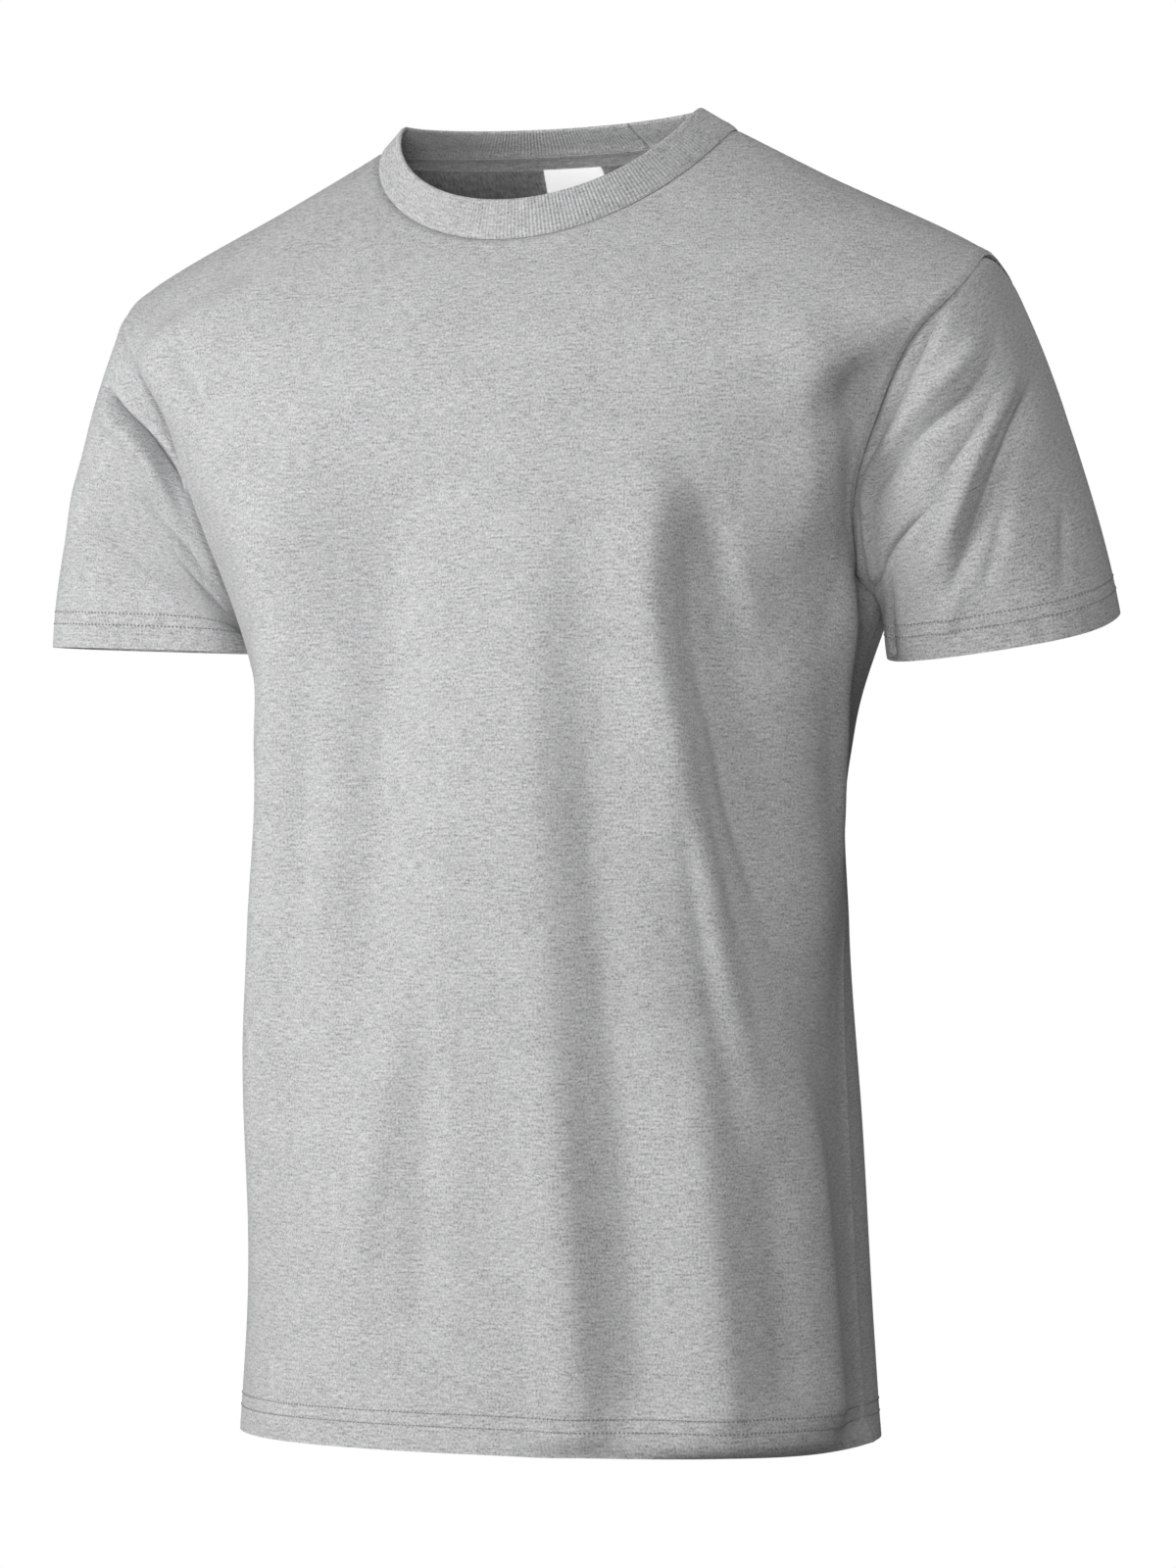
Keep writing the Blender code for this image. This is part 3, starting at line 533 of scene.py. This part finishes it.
def run_lengths(points, axis):
    """Distances from the first point along an axis of a grid of points."""
    steps = np.linalg.norm(np.diff(points, axis=axis), axis=-1)
    start = np.zeros_like(steps.take([0], axis=axis))
    return np.concatenate([start, np.cumsum(steps, axis=axis)], axis=axis)


# ---- Front and back ----

FRONT_COLUMNS, BACK_COLUMNS, SLEEVE_COLUMNS = 150, 120, 200
SLEEVE_ROWS, ARMHOLE_ROWS, HEM_ROW_COUNT = 110, 80, 9
SIDE_SPACING, YOKE_SPACING = 0.0028, 0.003  # between rows of points
EDGE_STEPS = np.array([0.0, 0.0007, 0.0015, 0.0026, 0.0042, 0.0064])  # from a seam, where points crowd
LEVEL_FROM, LEVEL_OVER = 0.20, 0.15  # above this rise, and over this much, knit rows turn level


def crowded(length, spacing):
    """Places along a length, close together at both ends."""
    middle = np.linspace(EDGE_STEPS[-1], length - EDGE_STEPS[-1], int(length / spacing))[1:-1]
    return np.concatenate([EDGE_STEPS, middle, length - EDGE_STEPS[::-1]])


def panel_rises():
    """The rise of each row of points, from the hem to the neck."""
    side = np.arange(HEM_DEPTH, UNDERARM_RISE - 0.004, SIDE_SPACING)
    steps = np.arange(0, ARMHOLE_ROWS + 1) * math.pi / ARMHOLE_ROWS
    armhole = UNDERARM_RISE + (SHOULDER_RISE - UNDERARM_RISE) * (1 - np.cos(steps)) / 2
    yoke = NECK_RISE - crowded(NECK_RISE - SHOULDER_RISE, YOKE_SPACING)[::-1][1:]
    return np.concatenate([np.linspace(0, HEM_DEPTH, HEM_ROW_COUNT)[:-1], side, armhole, yoke])


def in_hem(height):
    """1 in the turned-up hem and 0 above it."""
    return 1 - smoothstep((height - HEM_DEPTH + HEM_STEP) / HEM_STEP)


def level_rows(turn, rise, middle):
    """Heights on the cut panel: its knit rows follow the hem below and lie level on the chest."""
    rises = np.linspace(0, NECK_RISE, 400)
    heights = body_form(middle, rises)[:, 2]
    z = body_form(turn, rise)[..., 2]
    level = np.interp(z, heights, rises) + np.maximum(z - heights[-1], 0.0)
    blend = smoothstep((rise - LEVEL_FROM) / LEVEL_OVER)
    return rise * (1 - blend) + level * blend


def build_panel(name, is_front, seams, columns, material):
    """The front or back, with its hem turned up inside."""
    rises = panel_rises()
    middle, deepest = (0.75, ARMHOLE_CUT_FRONT) if is_front else (0.25, ARMHOLE_CUT_BACK)
    place = np.clip((rises - UNDERARM_RISE) / (SHOULDER_RISE - UNDERARM_RISE), 0, 1)
    cut = deepest * np.sin(np.arccos(1 - 2 * place))
    reach = 0.25 - cut - 0.0001  # just short of the side seam, so front and back stay apart
    share = crowded(GIRTH / 2, GIRTH / 2 / columns) / (GIRTH / 4) - 1
    turn = middle + reach[:, None] * share
    rise = np.repeat(rises[:, None], len(share), axis=1)
    surface = body_surface(turn, rise)
    surface, out = sewn(surface, facing(body_surface, turn, rise), seams)
    outer = surface + out * CLOTH
    inner = surface - out * (HEM_LAYER * in_hem(rises))[:, None, None]
    along = run_lengths(surface, 1)
    along = along - along[:, [len(share) // 2]]
    level = level_rows(turn, rise, middle)
    cloth = np.stack([along + (0.0 if is_front else BACK_PLACE), level], axis=-1)
    return add_wall(name, inner, outer, cloth, material)


def build_sleeve(name, side, seam, material):
    """A sleeve, with its cuff turned up inside."""
    surface_at = sleeve_surface(side)
    w = np.arange(SLEEVE_COLUMNS) / SLEEVE_COLUMNS
    s = np.concatenate([EDGE_STEPS / SLEEVE_LENGTH, np.linspace(0.045, 1, SLEEVE_ROWS)])
    s[0] = 0.0005  # just short of the armhole, so that it stays apart from the body
    w_grid, s_grid = np.meshgrid(w, s)
    surface = surface_at(w_grid, s_grid)
    along = np.linspace(0, 1, 400)
    underarm = Seam(surface_at(0.0, along), facing(surface_at, np.zeros_like(along), along) * -side)
    surface, out = sewn(surface, facing(surface_at, w_grid, s_grid) * -side, [seam, underarm])
    outer = surface + out * CLOTH
    up = run_lengths(surface[::-1], 0)[::-1]
    inner = surface - out * (HEM_LAYER * in_hem(up))[..., None]
    ring = np.concatenate([surface, surface[:, :1]], axis=1)
    around = run_lengths(ring, 1)
    around = around - around[:, [SLEEVE_COLUMNS // 2]]
    up = np.concatenate([up, up[:, :1]], axis=1)
    cloth = np.stack([around + SLEEVE_PLACE + side, up], axis=-1)
    if side > 0:
        inner, outer, cloth = inner[:, ::-1], outer[:, ::-1], cloth[:, ::-1]
    return add_wall(name, inner, outer, cloth, material, closed=True)


# ---- Neckband, tape and label ----


def band_surface(turn, up):
    """The inner face of the neckband, from the neck seam at up 0 to its folded edge at up 1."""
    turn, up = np.broadcast_arrays(np.asarray(turn, float), np.asarray(up, float))
    seam = body_form(turn, np.full_like(turn, NECK_RISE))
    edge = ring_points(np.array(BAND_EDGE[1:]), turn)
    return seam + (edge - seam) * up[..., None]


BAND_UPS = np.array(
    [0.004, 0.03, 0.07, 0.13, 0.25, 0.40, 0.55, 0.70, 0.82, 0.90, 0.94, 0.96, 0.98, 0.992, 1.0]
)


def build_neckband(seam, material):
    """Rib folded double: up outside, over the fold and down inside."""
    columns = BAND_RIBS * RIB_POINTS
    column = np.arange(columns) / columns
    turn, up = np.meshgrid(column, BAND_UPS)
    surface = band_surface(turn, up)
    surface, out = sewn(surface, facing(band_surface, turn, up), [seam])
    over = np.clip((up - FOLD_EDGE) / (1 - FOLD_EDGE), 0, 1)
    rounded = np.sqrt(np.clip(1 - over**2, 0, 1))
    wave = 0.5 + 0.5 * np.cos(2 * math.pi * np.arange(columns) / RIB_POINTS)
    ribs = RIB_RELIEF * wave * (0.4 + 0.6 * rounded)
    join = JOIN_DEPTH * np.exp(-(((column - BAND_JOIN) / JOIN_WIDTH) ** 2))
    depth = (RIB_CLOTH / 2 * rounded + ribs - RIB_RELIEF - join * rounded)[..., None]
    middle = surface + out * RIB_CLOTH / 2
    points = np.concatenate([middle + out * depth, (middle - out * depth)[-2::-1]])
    around = run_lengths(np.concatenate([surface[:1], surface[:1, :1]], axis=1), 1)
    height = run_lengths(np.concatenate([surface, surface[-2::-1]]), 0)
    height = np.concatenate([height, height[:, :1]], axis=1)
    around = np.broadcast_to(around, height.shape)
    cloth = np.stack([around + BAND_PLACE[0], height + BAND_PLACE[1]], axis=-1)
    return add_sheet("neckband_rib", points, cloth, material)


def below_neck(turn, distance):
    """The rise of the points this far below the neck seam, over the cloth."""
    step = 0.002
    top = body_form(turn, np.full_like(turn, NECK_RISE))
    speed = np.linalg.norm(top - body_form(turn, np.full_like(turn, NECK_RISE - step)), axis=-1)
    return NECK_RISE - distance * step / speed


def build_lining(name, turn, distances, inset, thickness, seams, material, bow=0.0):
    """A strip that lies just inside the back, over these distances below the neck seam."""
    turn_grid, distance = np.meshgrid(turn, distances)
    rise = below_neck(turn_grid, distance)
    surface = body_surface(turn_grid, rise)
    surface, out = sewn(surface, facing(body_surface, turn_grid, rise), seams)
    hang = bow * ((distance - distances[-1]) / max(distances[0] - distances[-1], 1e-6)) ** 2
    near = surface - out * (inset + hang)[..., None]
    far = near - out * thickness
    along = run_lengths(surface, 1)
    cloth = np.stack([along + LINING_PLACE[0], LINING_PLACE[1] - distance], axis=-1)
    return add_wall(name, far, near, cloth, material)


# ---- Stitches ----


def resample(line, outs, spacing):
    """Even places along a line of points, the way on from each and the way out of the cloth."""
    gone = np.concatenate([[0], np.cumsum(np.linalg.norm(np.diff(line, axis=0), axis=1))])

    def read(values, places):
        return np.stack([np.interp(places, gone, values[:, k]) for k in range(3)], axis=1)

    places = np.arange(spacing / 2, gone[-1], spacing)
    spots = read(line, places)
    along = unit(read(line, places + spacing / 4) - spots + 1e-9)
    return spots, along, unit(read(outs, places))


# The rings of a stitch: place along it, how high it stands and how thick it is, as shares.
THREAD_RINGS = (
    (-0.5, -0.9, 0.45), (-0.32, 0.1, 0.9), (0.0, 0.35, 1.0), (0.32, 0.1, 0.9), (0.5, -0.9, 0.45)
)
THREAD_SIDES = 6
THREAD_RISE = 0.45  # of the thread's thickness


def add_stitches(name, lines, pitch, length, material):
    """Rows of stitches. Each line is points on the cloth and the way out of it."""
    points, faces = [], []
    last_ring = THREAD_SIDES * (len(THREAD_RINGS) - 1)
    for line, outs in lines:
        spots, along, out = resample(line, outs, pitch)
        beside = unit(np.cross(out, along))
        for spot, run, up, side in zip(spots, along, out, beside):
            first = len(points)
            for place, lift, size in THREAD_RINGS:
                middle = spot + run * place * length + up * lift * THREAD * THREAD_RISE
                for corner in range(THREAD_SIDES):
                    angle = corner * 2 * math.pi / THREAD_SIDES
                    radius = size * THREAD / 2
                    points.append(middle + radius * (math.cos(angle) * side + math.sin(angle) * up))
            for ring in range(first, first + last_ring, THREAD_SIDES):
                for corner in range(THREAD_SIDES):
                    a, b = ring + corner, ring + (corner + 1) % THREAD_SIDES
                    faces.append((a, b, b + THREAD_SIDES, a + THREAD_SIDES))
            faces.append(tuple(first + corner for corner in reversed(range(THREAD_SIDES))))
            faces.append(tuple(first + last_ring + corner for corner in range(THREAD_SIDES)))
    mesh = bpy.data.meshes.new(name)
    mesh.from_pydata(np.array(points).tolist(), [], faces)
    mesh.shade_smooth()
    mesh.materials.append(material)
    piece = bpy.data.objects.new(name, mesh)
    bpy.context.scene.collection.objects.link(piece)
    return piece


def panel_hem_lines(is_front):
    """The stitch rows of the front's or back's hem."""
    turn = (0.75 if is_front else 0.25) + np.linspace(-0.249, 0.249, 500)
    lines = []
    for height in HEM_ROWS:
        rise = np.full_like(turn, height)
        out = facing(body_surface, turn, rise)
        lines.append((body_surface(turn, rise) + out * CLOTH, out))
    return lines


def sleeve_hem_lines(side):
    """The stitch rows round a cuff."""
    surface = sleeve_surface(side)
    w = np.linspace(0, 1, 300)
    s = np.linspace(1.0, 0.6, 60)
    line = surface(w[:, None], s[None, :])
    gone = run_lengths(line, 1)
    lines = []
    for height in HEM_ROWS:
        place = np.array([np.interp(height, far, s) for far in gone])
        out = facing(surface, w, place) * -side
        lines.append((surface(w, place) + out * CLOTH, out))
    return lines


def lining_lines(turn, distances, inset):
    """Lines round the inside of the back neck, at these distances below the neck seam."""
    lines = []
    for distance in distances:
        rise = below_neck(turn, np.full_like(turn, distance))
        out = facing(body_surface, turn, rise)
        lines.append((body_surface(turn, rise) - out * inset, -out))
    return lines


# ---- Materials ----


class Nodes:
    """Adds nodes to a new material and wires them up."""

    def __init__(self, name):
        self.material = bpy.data.materials.new(name)
        self.material.use_nodes = True
        self.tree = self.material.node_tree
        self.shader = self.tree.nodes["Principled BSDF"]

    def put(self, socket, value):
        if isinstance(value, bpy.types.NodeSocket):
            self.tree.links.new(value, socket)
        else:
            socket.default_value = value

    def add(self, kind, *values, **settings):
        """A node with these inputs in order, and settings. None leaves an input alone."""
        node = self.tree.nodes.new(kind)
        for name, value in settings.items():
            setattr(node, name, value)
        for socket, value in zip(node.inputs, values):
            if value is not None:
                self.put(socket, value)
        return node

    def math(self, operation, a, b=0.0):
        return self.add("ShaderNodeMath", a, b, operation=operation).outputs[0]

    def noise(self, place, scale, detail=2.0, roughness=0.5):
        """Noise from 0 to 1 at a place stretched by a scale on each axis."""
        stretched = self.add("ShaderNodeVectorMath", place, scale, operation="MULTIPLY").outputs[0]
        node = self.add("ShaderNodeTexNoise", noise_dimensions="2D")
        self.put(node.inputs["Vector"], stretched)
        node.inputs["Scale"].default_value = 1.0
        node.inputs["Detail"].default_value = detail
        node.inputs["Roughness"].default_value = roughness
        return node.outputs[0]

    def ramp(self, value, *stops):
        """A colour ramp through grey stops of (place, grey)."""
        node = self.add("ShaderNodeValToRGB", value)
        ramp = node.color_ramp
        while len(ramp.elements) < len(stops):
            ramp.elements.new(0.5)
        for element, (place, grey) in zip(ramp.elements, stops):
            element.position = place
            element.color = (grey, grey, grey, 1.0)
        return node.outputs[0]

    def near(self, value, centre, width):
        """1 where a value is at the centre, falling smoothly to 0 at this width from it."""
        away = self.math("ABSOLUTE", self.math("SUBTRACT", value, centre))
        node = self.add(
            "ShaderNodeMapRange", away, 0.0, width, 1.0, 0.0, interpolation_type="SMOOTHSTEP"
        )
        return node.outputs[0]

    def wave(self, operation, value, pitch):
        """A sine or cosine of a value that repeats at this pitch."""
        return self.math(operation, self.math("MULTIPLY", value, 2 * math.pi / pitch))

    def relief(self, height, strength, distance):
        """Makes the shader's surface stand up by a height."""
        bump = self.add("ShaderNodeBump")
        bump.inputs["Strength"].default_value = strength
        bump.inputs["Distance"].default_value = distance
        self.put(bump.inputs["Height"], height)
        self.put(self.shader.inputs["Normal"], bump.outputs[0])

    def finish(self, colour, constants):
        """Gives the shader its colour and its constant inputs by name."""
        self.put(self.shader.inputs["Base Color"], colour)
        for name, value in constants.items():
            self.shader.inputs[name].default_value = value
        return self.material


HEATHER = (0.475, 0.478, 0.482)
WALE, COURSE = 0.00085, 0.00062  # the knit's stitches across and up
# The mixed fibres: how often they change across and up, per metre, and their share of the tone.
Fibres = namedtuple("Fibres", "name across up detail roughness share")
FIBRES = (
    Fibres("grain", 950, 800, 1.0, 0.5, 0.55),
    Fibres("streaks", 150, 820, 1.0, 0.5, 0.34),
    Fibres("clouds", 28, 60, 3.0, 0.55, 0.11),
)
FIBRE_TONES = ((0.30, 0.58), (0.44, 0.90), (0.50, 1.0), (0.56, 1.10), (0.70, 1.34))
DARK_FIBRE_TONES = ((0.66, 1.0), (0.84, 0.72))
WHITE = (1.0, 1.0, 1.0, 1.0)
LABEL_PAINTED_GLOW = 0.62  # painted light: a glow that keeps the label near white in the shade inside the back neck
FLOOR_GLOW = 0.62


def pull_rows(nodes, split, height, shade):
    """Hem rows pulled into the cloth at each stitch, with slanting puckers from them to the edge, and painted
    shade darkening the pulled rows.
    """
    lower, upper = HEM_ROWS
    rows = nodes.math(
        "ADD", nodes.near(split[1], lower, 0.0013), nodes.near(split[1], upper, 0.0013)
    )
    beat = nodes.math("ADD", nodes.math("MULTIPLY", nodes.wave("COSINE", split[0], HEM_STITCH), 0.60), 0.40)
    pull = nodes.math("MULTIPLY", rows, beat)
    height = nodes.math("SUBTRACT", height, nodes.math("MULTIPLY", pull, 0.8))
    slanted = nodes.math("ADD", split[0], nodes.math("MULTIPLY", split[1], 0.5))
    slanted = nodes.add("ShaderNodeCombineXYZ", slanted, split[1]).outputs[0]
    puckers = nodes.noise(slanted, (110, 20, 0), 1.0, 0.5)
    within = nodes.add("ShaderNodeMapRange", split[1], upper + 0.010, lower - 0.003, 0.0, 8.0)
    height = nodes.math("ADD", height, nodes.math("MULTIPLY", puckers, within.outputs[0]))
    # Painted shade: the colour darkens along the pulled rows, most at each stitch, as if in shadow.
    darker = nodes.math("SUBTRACT", 1.0, nodes.math("MULTIPLY", pull, 0.30))
    return height, nodes.math("MULTIPLY", shade, darker)


def heather_material(name, stitched, brightness=1.0):
    """Heather jersey: pale and dark fibres spun together, knitted in fine rows across the cloth."""
    nodes = Nodes(name)
    place = nodes.add("ShaderNodeUVMap", uv_map="cloth").outputs[0]
    split = nodes.add("ShaderNodeSeparateXYZ", place).outputs
    total = 0.0
    for kind in FIBRES:
        fibres = nodes.noise(place, (kind.across, kind.up, 0), kind.detail, kind.roughness)
        total = nodes.math("ADD", nodes.math("MULTIPLY", fibres, kind.share), total)
    dark = nodes.ramp(nodes.noise(place, (380, 1100, 0), 1.0, 0.5), *DARK_FIBRE_TONES)
    shade = nodes.math("MULTIPLY", nodes.ramp(total, *FIBRE_TONES), dark)
    wales, courses = nodes.wave("SINE", split[0], WALE), nodes.wave("SINE", split[1], COURSE)
    knit = nodes.math("ADD", nodes.math("MULTIPLY", wales, 0.10), nodes.math("MULTIPLY", courses, 0.07))
    height = nodes.math("ADD", total, knit)
    if stitched:
        height, shade = pull_rows(nodes, split, height, shade)
    tint = tuple(brightness * channel for channel in HEATHER)
    colour = nodes.add("ShaderNodeVectorMath", shade, tint, operation="MULTIPLY").outputs[0]
    nodes.relief(height, 0.35, 0.0006)
    return nodes.finish(
        colour,
        {"Roughness": 0.92, "Specular IOR Level": 0.25, "Sheen Weight": 0.12, "Sheen Roughness": 0.5},
    )


def thread_material(name, grey):
    """Sewing thread, paler and darker where it twists."""
    nodes = Nodes(name)
    place = nodes.add("ShaderNodeTexCoord").outputs["Object"]
    twist = nodes.noise(place, (2500, 2500, 2500), 1.0, 0.5)
    return nodes.finish(nodes.ramp(twist, (0.3, grey * 0.8), (0.7, grey * 1.15)), {"Roughness": 0.7})


def label_material():
    """White satin ribbon with nothing on it, glowing with painted light so it stays white in the shade."""
    nodes = Nodes("white_satin")
    place = nodes.add("ShaderNodeUVMap", uv_map="cloth").outputs[0]
    split = nodes.add("ShaderNodeSeparateXYZ", place).outputs
    weft = nodes.wave("SINE", split[1], 0.0005)
    warp = nodes.noise(place, (1800, 260, 0), 1.0, 0.5)
    nodes.relief(nodes.math("ADD", nodes.math("MULTIPLY", weft, 0.2), warp), 0.15, 0.0002)
    # Its emission is painted light: the label glows though it is no lamp.
    return nodes.finish(
        nodes.ramp(warp, (0.3, 0.90), (0.7, 0.96)),
        {
            "Roughness": 0.45, "Sheen Weight": 0.2,
            "Emission Color": WHITE, "Emission Strength": LABEL_PAINTED_GLOW,
        },
    )


# ---- Camera, light and floor ----

VIEW_TURN = math.radians(20.0)  # towards the wearer's left
VIEW_DISTANCE = 2.35
VIEW_HEIGHT = -0.413
FOCAL_PIXELS = 4510.3
PICTURE_WIDTH, PICTURE_HEIGHT = 1200, 1600
AXIS_PIXEL = 580.06  # where the shirt's middle line and the horizon fall in the picture
HORIZON_PIXEL = 935.0


def add_camera():
    """A camera at the wearer's left front, level with the waist and looking up a little."""
    camera = bpy.data.objects.new("camera", bpy.data.cameras.new("camera"))
    bpy.context.scene.collection.objects.link(camera)
    bpy.context.scene.camera = camera
    camera.data.sensor_width = 36.0
    camera.data.lens = FOCAL_PIXELS / PICTURE_HEIGHT * camera.data.sensor_width
    camera.location = (
        math.sin(VIEW_TURN) * VIEW_DISTANCE, -math.cos(VIEW_TURN) * VIEW_DISTANCE, VIEW_HEIGHT
    )
    turn_right = math.atan((PICTURE_WIDTH / 2 - AXIS_PIXEL) / FOCAL_PIXELS)
    pitch_up = math.atan((HORIZON_PIXEL - PICTURE_HEIGHT / 2) / FOCAL_PIXELS)
    looking = Vector((-math.sin(VIEW_TURN), math.cos(VIEW_TURN), 0.0))
    looking.rotate(Matrix.Rotation(-turn_right, 3, "Z"))
    looking = Vector((looking.x * math.cos(pitch_up), looking.y * math.cos(pitch_up), math.sin(pitch_up)))
    camera.rotation_euler = looking.to_track_quat("-Z", "Y").to_euler()


# Softboxes stand this far from the shirt's middle. Azimuth is from the front, positive to the
# wearer's left, and elevation is above the middle, both in degrees.
SOFTBOX_DISTANCE = 1.7
SHIRT_MIDDLE = Vector((0.0, 0.0, -0.33))
Softbox = namedtuple("Softbox", "name azimuth elevation size power")
SOFTBOXES = (
    Softbox("key", -43, 0, 0.9, 20.5),
    Softbox("high_front", -45, 30, 0.9, 5.5),
    Softbox("front", 15, 0, 0.9, 12.5),
    Softbox("left_fill", 80, 50, 0.9, 8.0),
    Softbox("right_rim", -100, 60, 0.9, 1.5),
    Softbox("back", -158, 12, 0.9, 29.0),
)
AMBIENT = 0.022
FLOOR_RADIUS, FLOOR_HEIGHT = 4.0, -1.45


def add_lights():
    """Softboxes, which the camera does not see."""
    for box in SOFTBOXES:
        light = bpy.data.lights.new(box.name, "AREA")
        light.shape = "DISK"
        light.size = box.size
        light.energy = box.power
        lamp = bpy.data.objects.new(box.name, light)
        bpy.context.scene.collection.objects.link(lamp)
        turn, rise = math.radians(box.azimuth), math.radians(box.elevation)
        away = Vector((math.sin(turn) * math.cos(rise), -math.cos(turn) * math.cos(rise), math.sin(rise)))
        lamp.location = SHIRT_MIDDLE + SOFTBOX_DISTANCE * away
        lamp.rotation_euler = away.to_track_quat("Z", "Y").to_euler()
        lamp.visible_camera = False


def add_world():
    """A white studio that lights the shirt dimly from all round."""
    world = bpy.data.worlds.new("studio")
    bpy.context.scene.world = world
    world.use_nodes = True
    tree = world.node_tree
    background = tree.nodes["Background"]
    seen = tree.nodes.new("ShaderNodeLightPath").outputs["Is Camera Ray"]
    strength = tree.nodes.new("ShaderNodeMapRange")
    strength.inputs["To Min"].default_value = AMBIENT
    strength.inputs["To Max"].default_value = 1.0
    tree.links.new(seen, strength.inputs["Value"])
    tree.links.new(strength.outputs[0], background.inputs["Strength"])
    background.inputs["Color"].default_value = WHITE


def add_floor():
    """A pale floor, which stays bright without lighting the shirt from below."""
    bpy.ops.mesh.primitive_circle_add(
        vertices=96, radius=FLOOR_RADIUS, fill_type="NGON", location=(0, 0, FLOOR_HEIGHT)
    )
    floor = bpy.context.object
    floor.name = "floor"
    nodes = Nodes("pale_floor")
    place = nodes.add("ShaderNodeTexCoord").outputs["Object"]
    mottle = nodes.noise(place, (1.5, 1.5, 1.5), 2.0, 0.5)
    glow = {"Roughness": 0.9, "Emission Color": WHITE, "Emission Strength": FLOOR_GLOW}
    floor.data.materials.append(nodes.finish(nodes.ramp(mottle, (0.3, 0.88), (0.7, 0.92)), glow))
    floor.visible_diffuse = False


# ---- The shirt ----


def main():
    add_camera()
    add_world()
    add_lights()
    add_floor()
    jersey = heather_material("heather_jersey", stitched=True)
    plain = heather_material("heather_tape", stitched=False, brightness=1.1)
    rib = heather_material("heather_rib", stitched=False)
    # The hem thread is dark grey: thread, and painted shade of the needle holes it sits in.
    thread = thread_material("thread_and_needle_hole_shade", 0.20)
    pale_thread = thread_material("pale_thread", 0.62)
    white = label_material()

    left, right, neck = armhole_seam(1), armhole_seam(-1), neck_seam()
    seams = [Seam(left.points, left.out, *LEFT_LAP), right, neck]
    seams += [body_seam(turn, 0.0, UNDERARM_RISE, SIDE_SEAM_DEPTH) for turn in (0.0, 0.5)]
    seams += [body_seam(turn, SHOULDER_RISE, NECK_RISE, SEAM_DEPTH) for turn in (0.0, 0.5)]
    front = build_panel("front_cloth", True, seams, FRONT_COLUMNS, jersey)
    back = build_panel("back_cloth", False, seams, BACK_COLUMNS, jersey)
    sleeve_left = build_sleeve("sleeve_left_cloth", 1, left, jersey)
    sleeve_right = build_sleeve("sleeve_right_cloth", -1, right, jersey)
    band = build_neckband(neck, rib)
    tape = build_lining(
        "neck_tape_cloth", np.linspace(0.01, 0.49, 160), np.linspace(TAPE_WIDTH, 0.0, 8),
        TAPE_INSET, TAPE_CLOTH, [neck], plain,
    )
    label = build_lining(
        "label_satin", LABEL_TURN + np.linspace(-LABEL_REACH, LABEL_REACH, 24),
        np.linspace(TAPE_WIDTH + LABEL_LENGTH, TAPE_WIDTH - 0.001, 24),
        LABEL_INSET, LABEL_CLOTH, [neck], white, LABEL_BOW,
    )
    pieces = (
        (front, "front", "jersey", (0.50, 0.71), 0.325),
        (back, "back", "jersey", (0.50, 0.72), 0.33),
        (sleeve_left, "sleeve_left", "jersey", (0.38, 0.21), 0.050),
        (sleeve_right, "sleeve_right", "jersey", (0.38, 0.21), 0.050),
        (band, "neckband", "rib", (0.52, 0.042), None),
        (tape, "neck_tape", "jersey", (0.24, 0.010), None),
        (label, "label", "label", (LABEL_WIDTH, LABEL_LENGTH), None),
    )
    for piece, node, slot, flat, area in pieces:
        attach(piece, "root")
        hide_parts(node)
    hems = (
        ("front_hem_stitches", panel_hem_lines(True)),
        ("back_hem_stitches", panel_hem_lines(False)),
        ("left_cuff_stitches", sleeve_hem_lines(1)),
        ("right_cuff_stitches", sleeve_hem_lines(-1)),
    )
    stitching = [add_stitches(name, lines, HEM_STITCH, HEM_STITCH_LENGTH, thread) for name, lines in hems]
    tape_lines = lining_lines(np.linspace(0.012, 0.488, 300), TAPE_ROWS, TAPE_INSET + TAPE_CLOTH + 0.0001)
    stitching.append(
        add_stitches("neck_tape_stitches", tape_lines, TAPE_STITCH, TAPE_STITCH_LENGTH, pale_thread)
    )
    for piece in stitching:
        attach(piece, "root")
    bpy.context.scene.view_settings.view_transform = "Standard"


main()
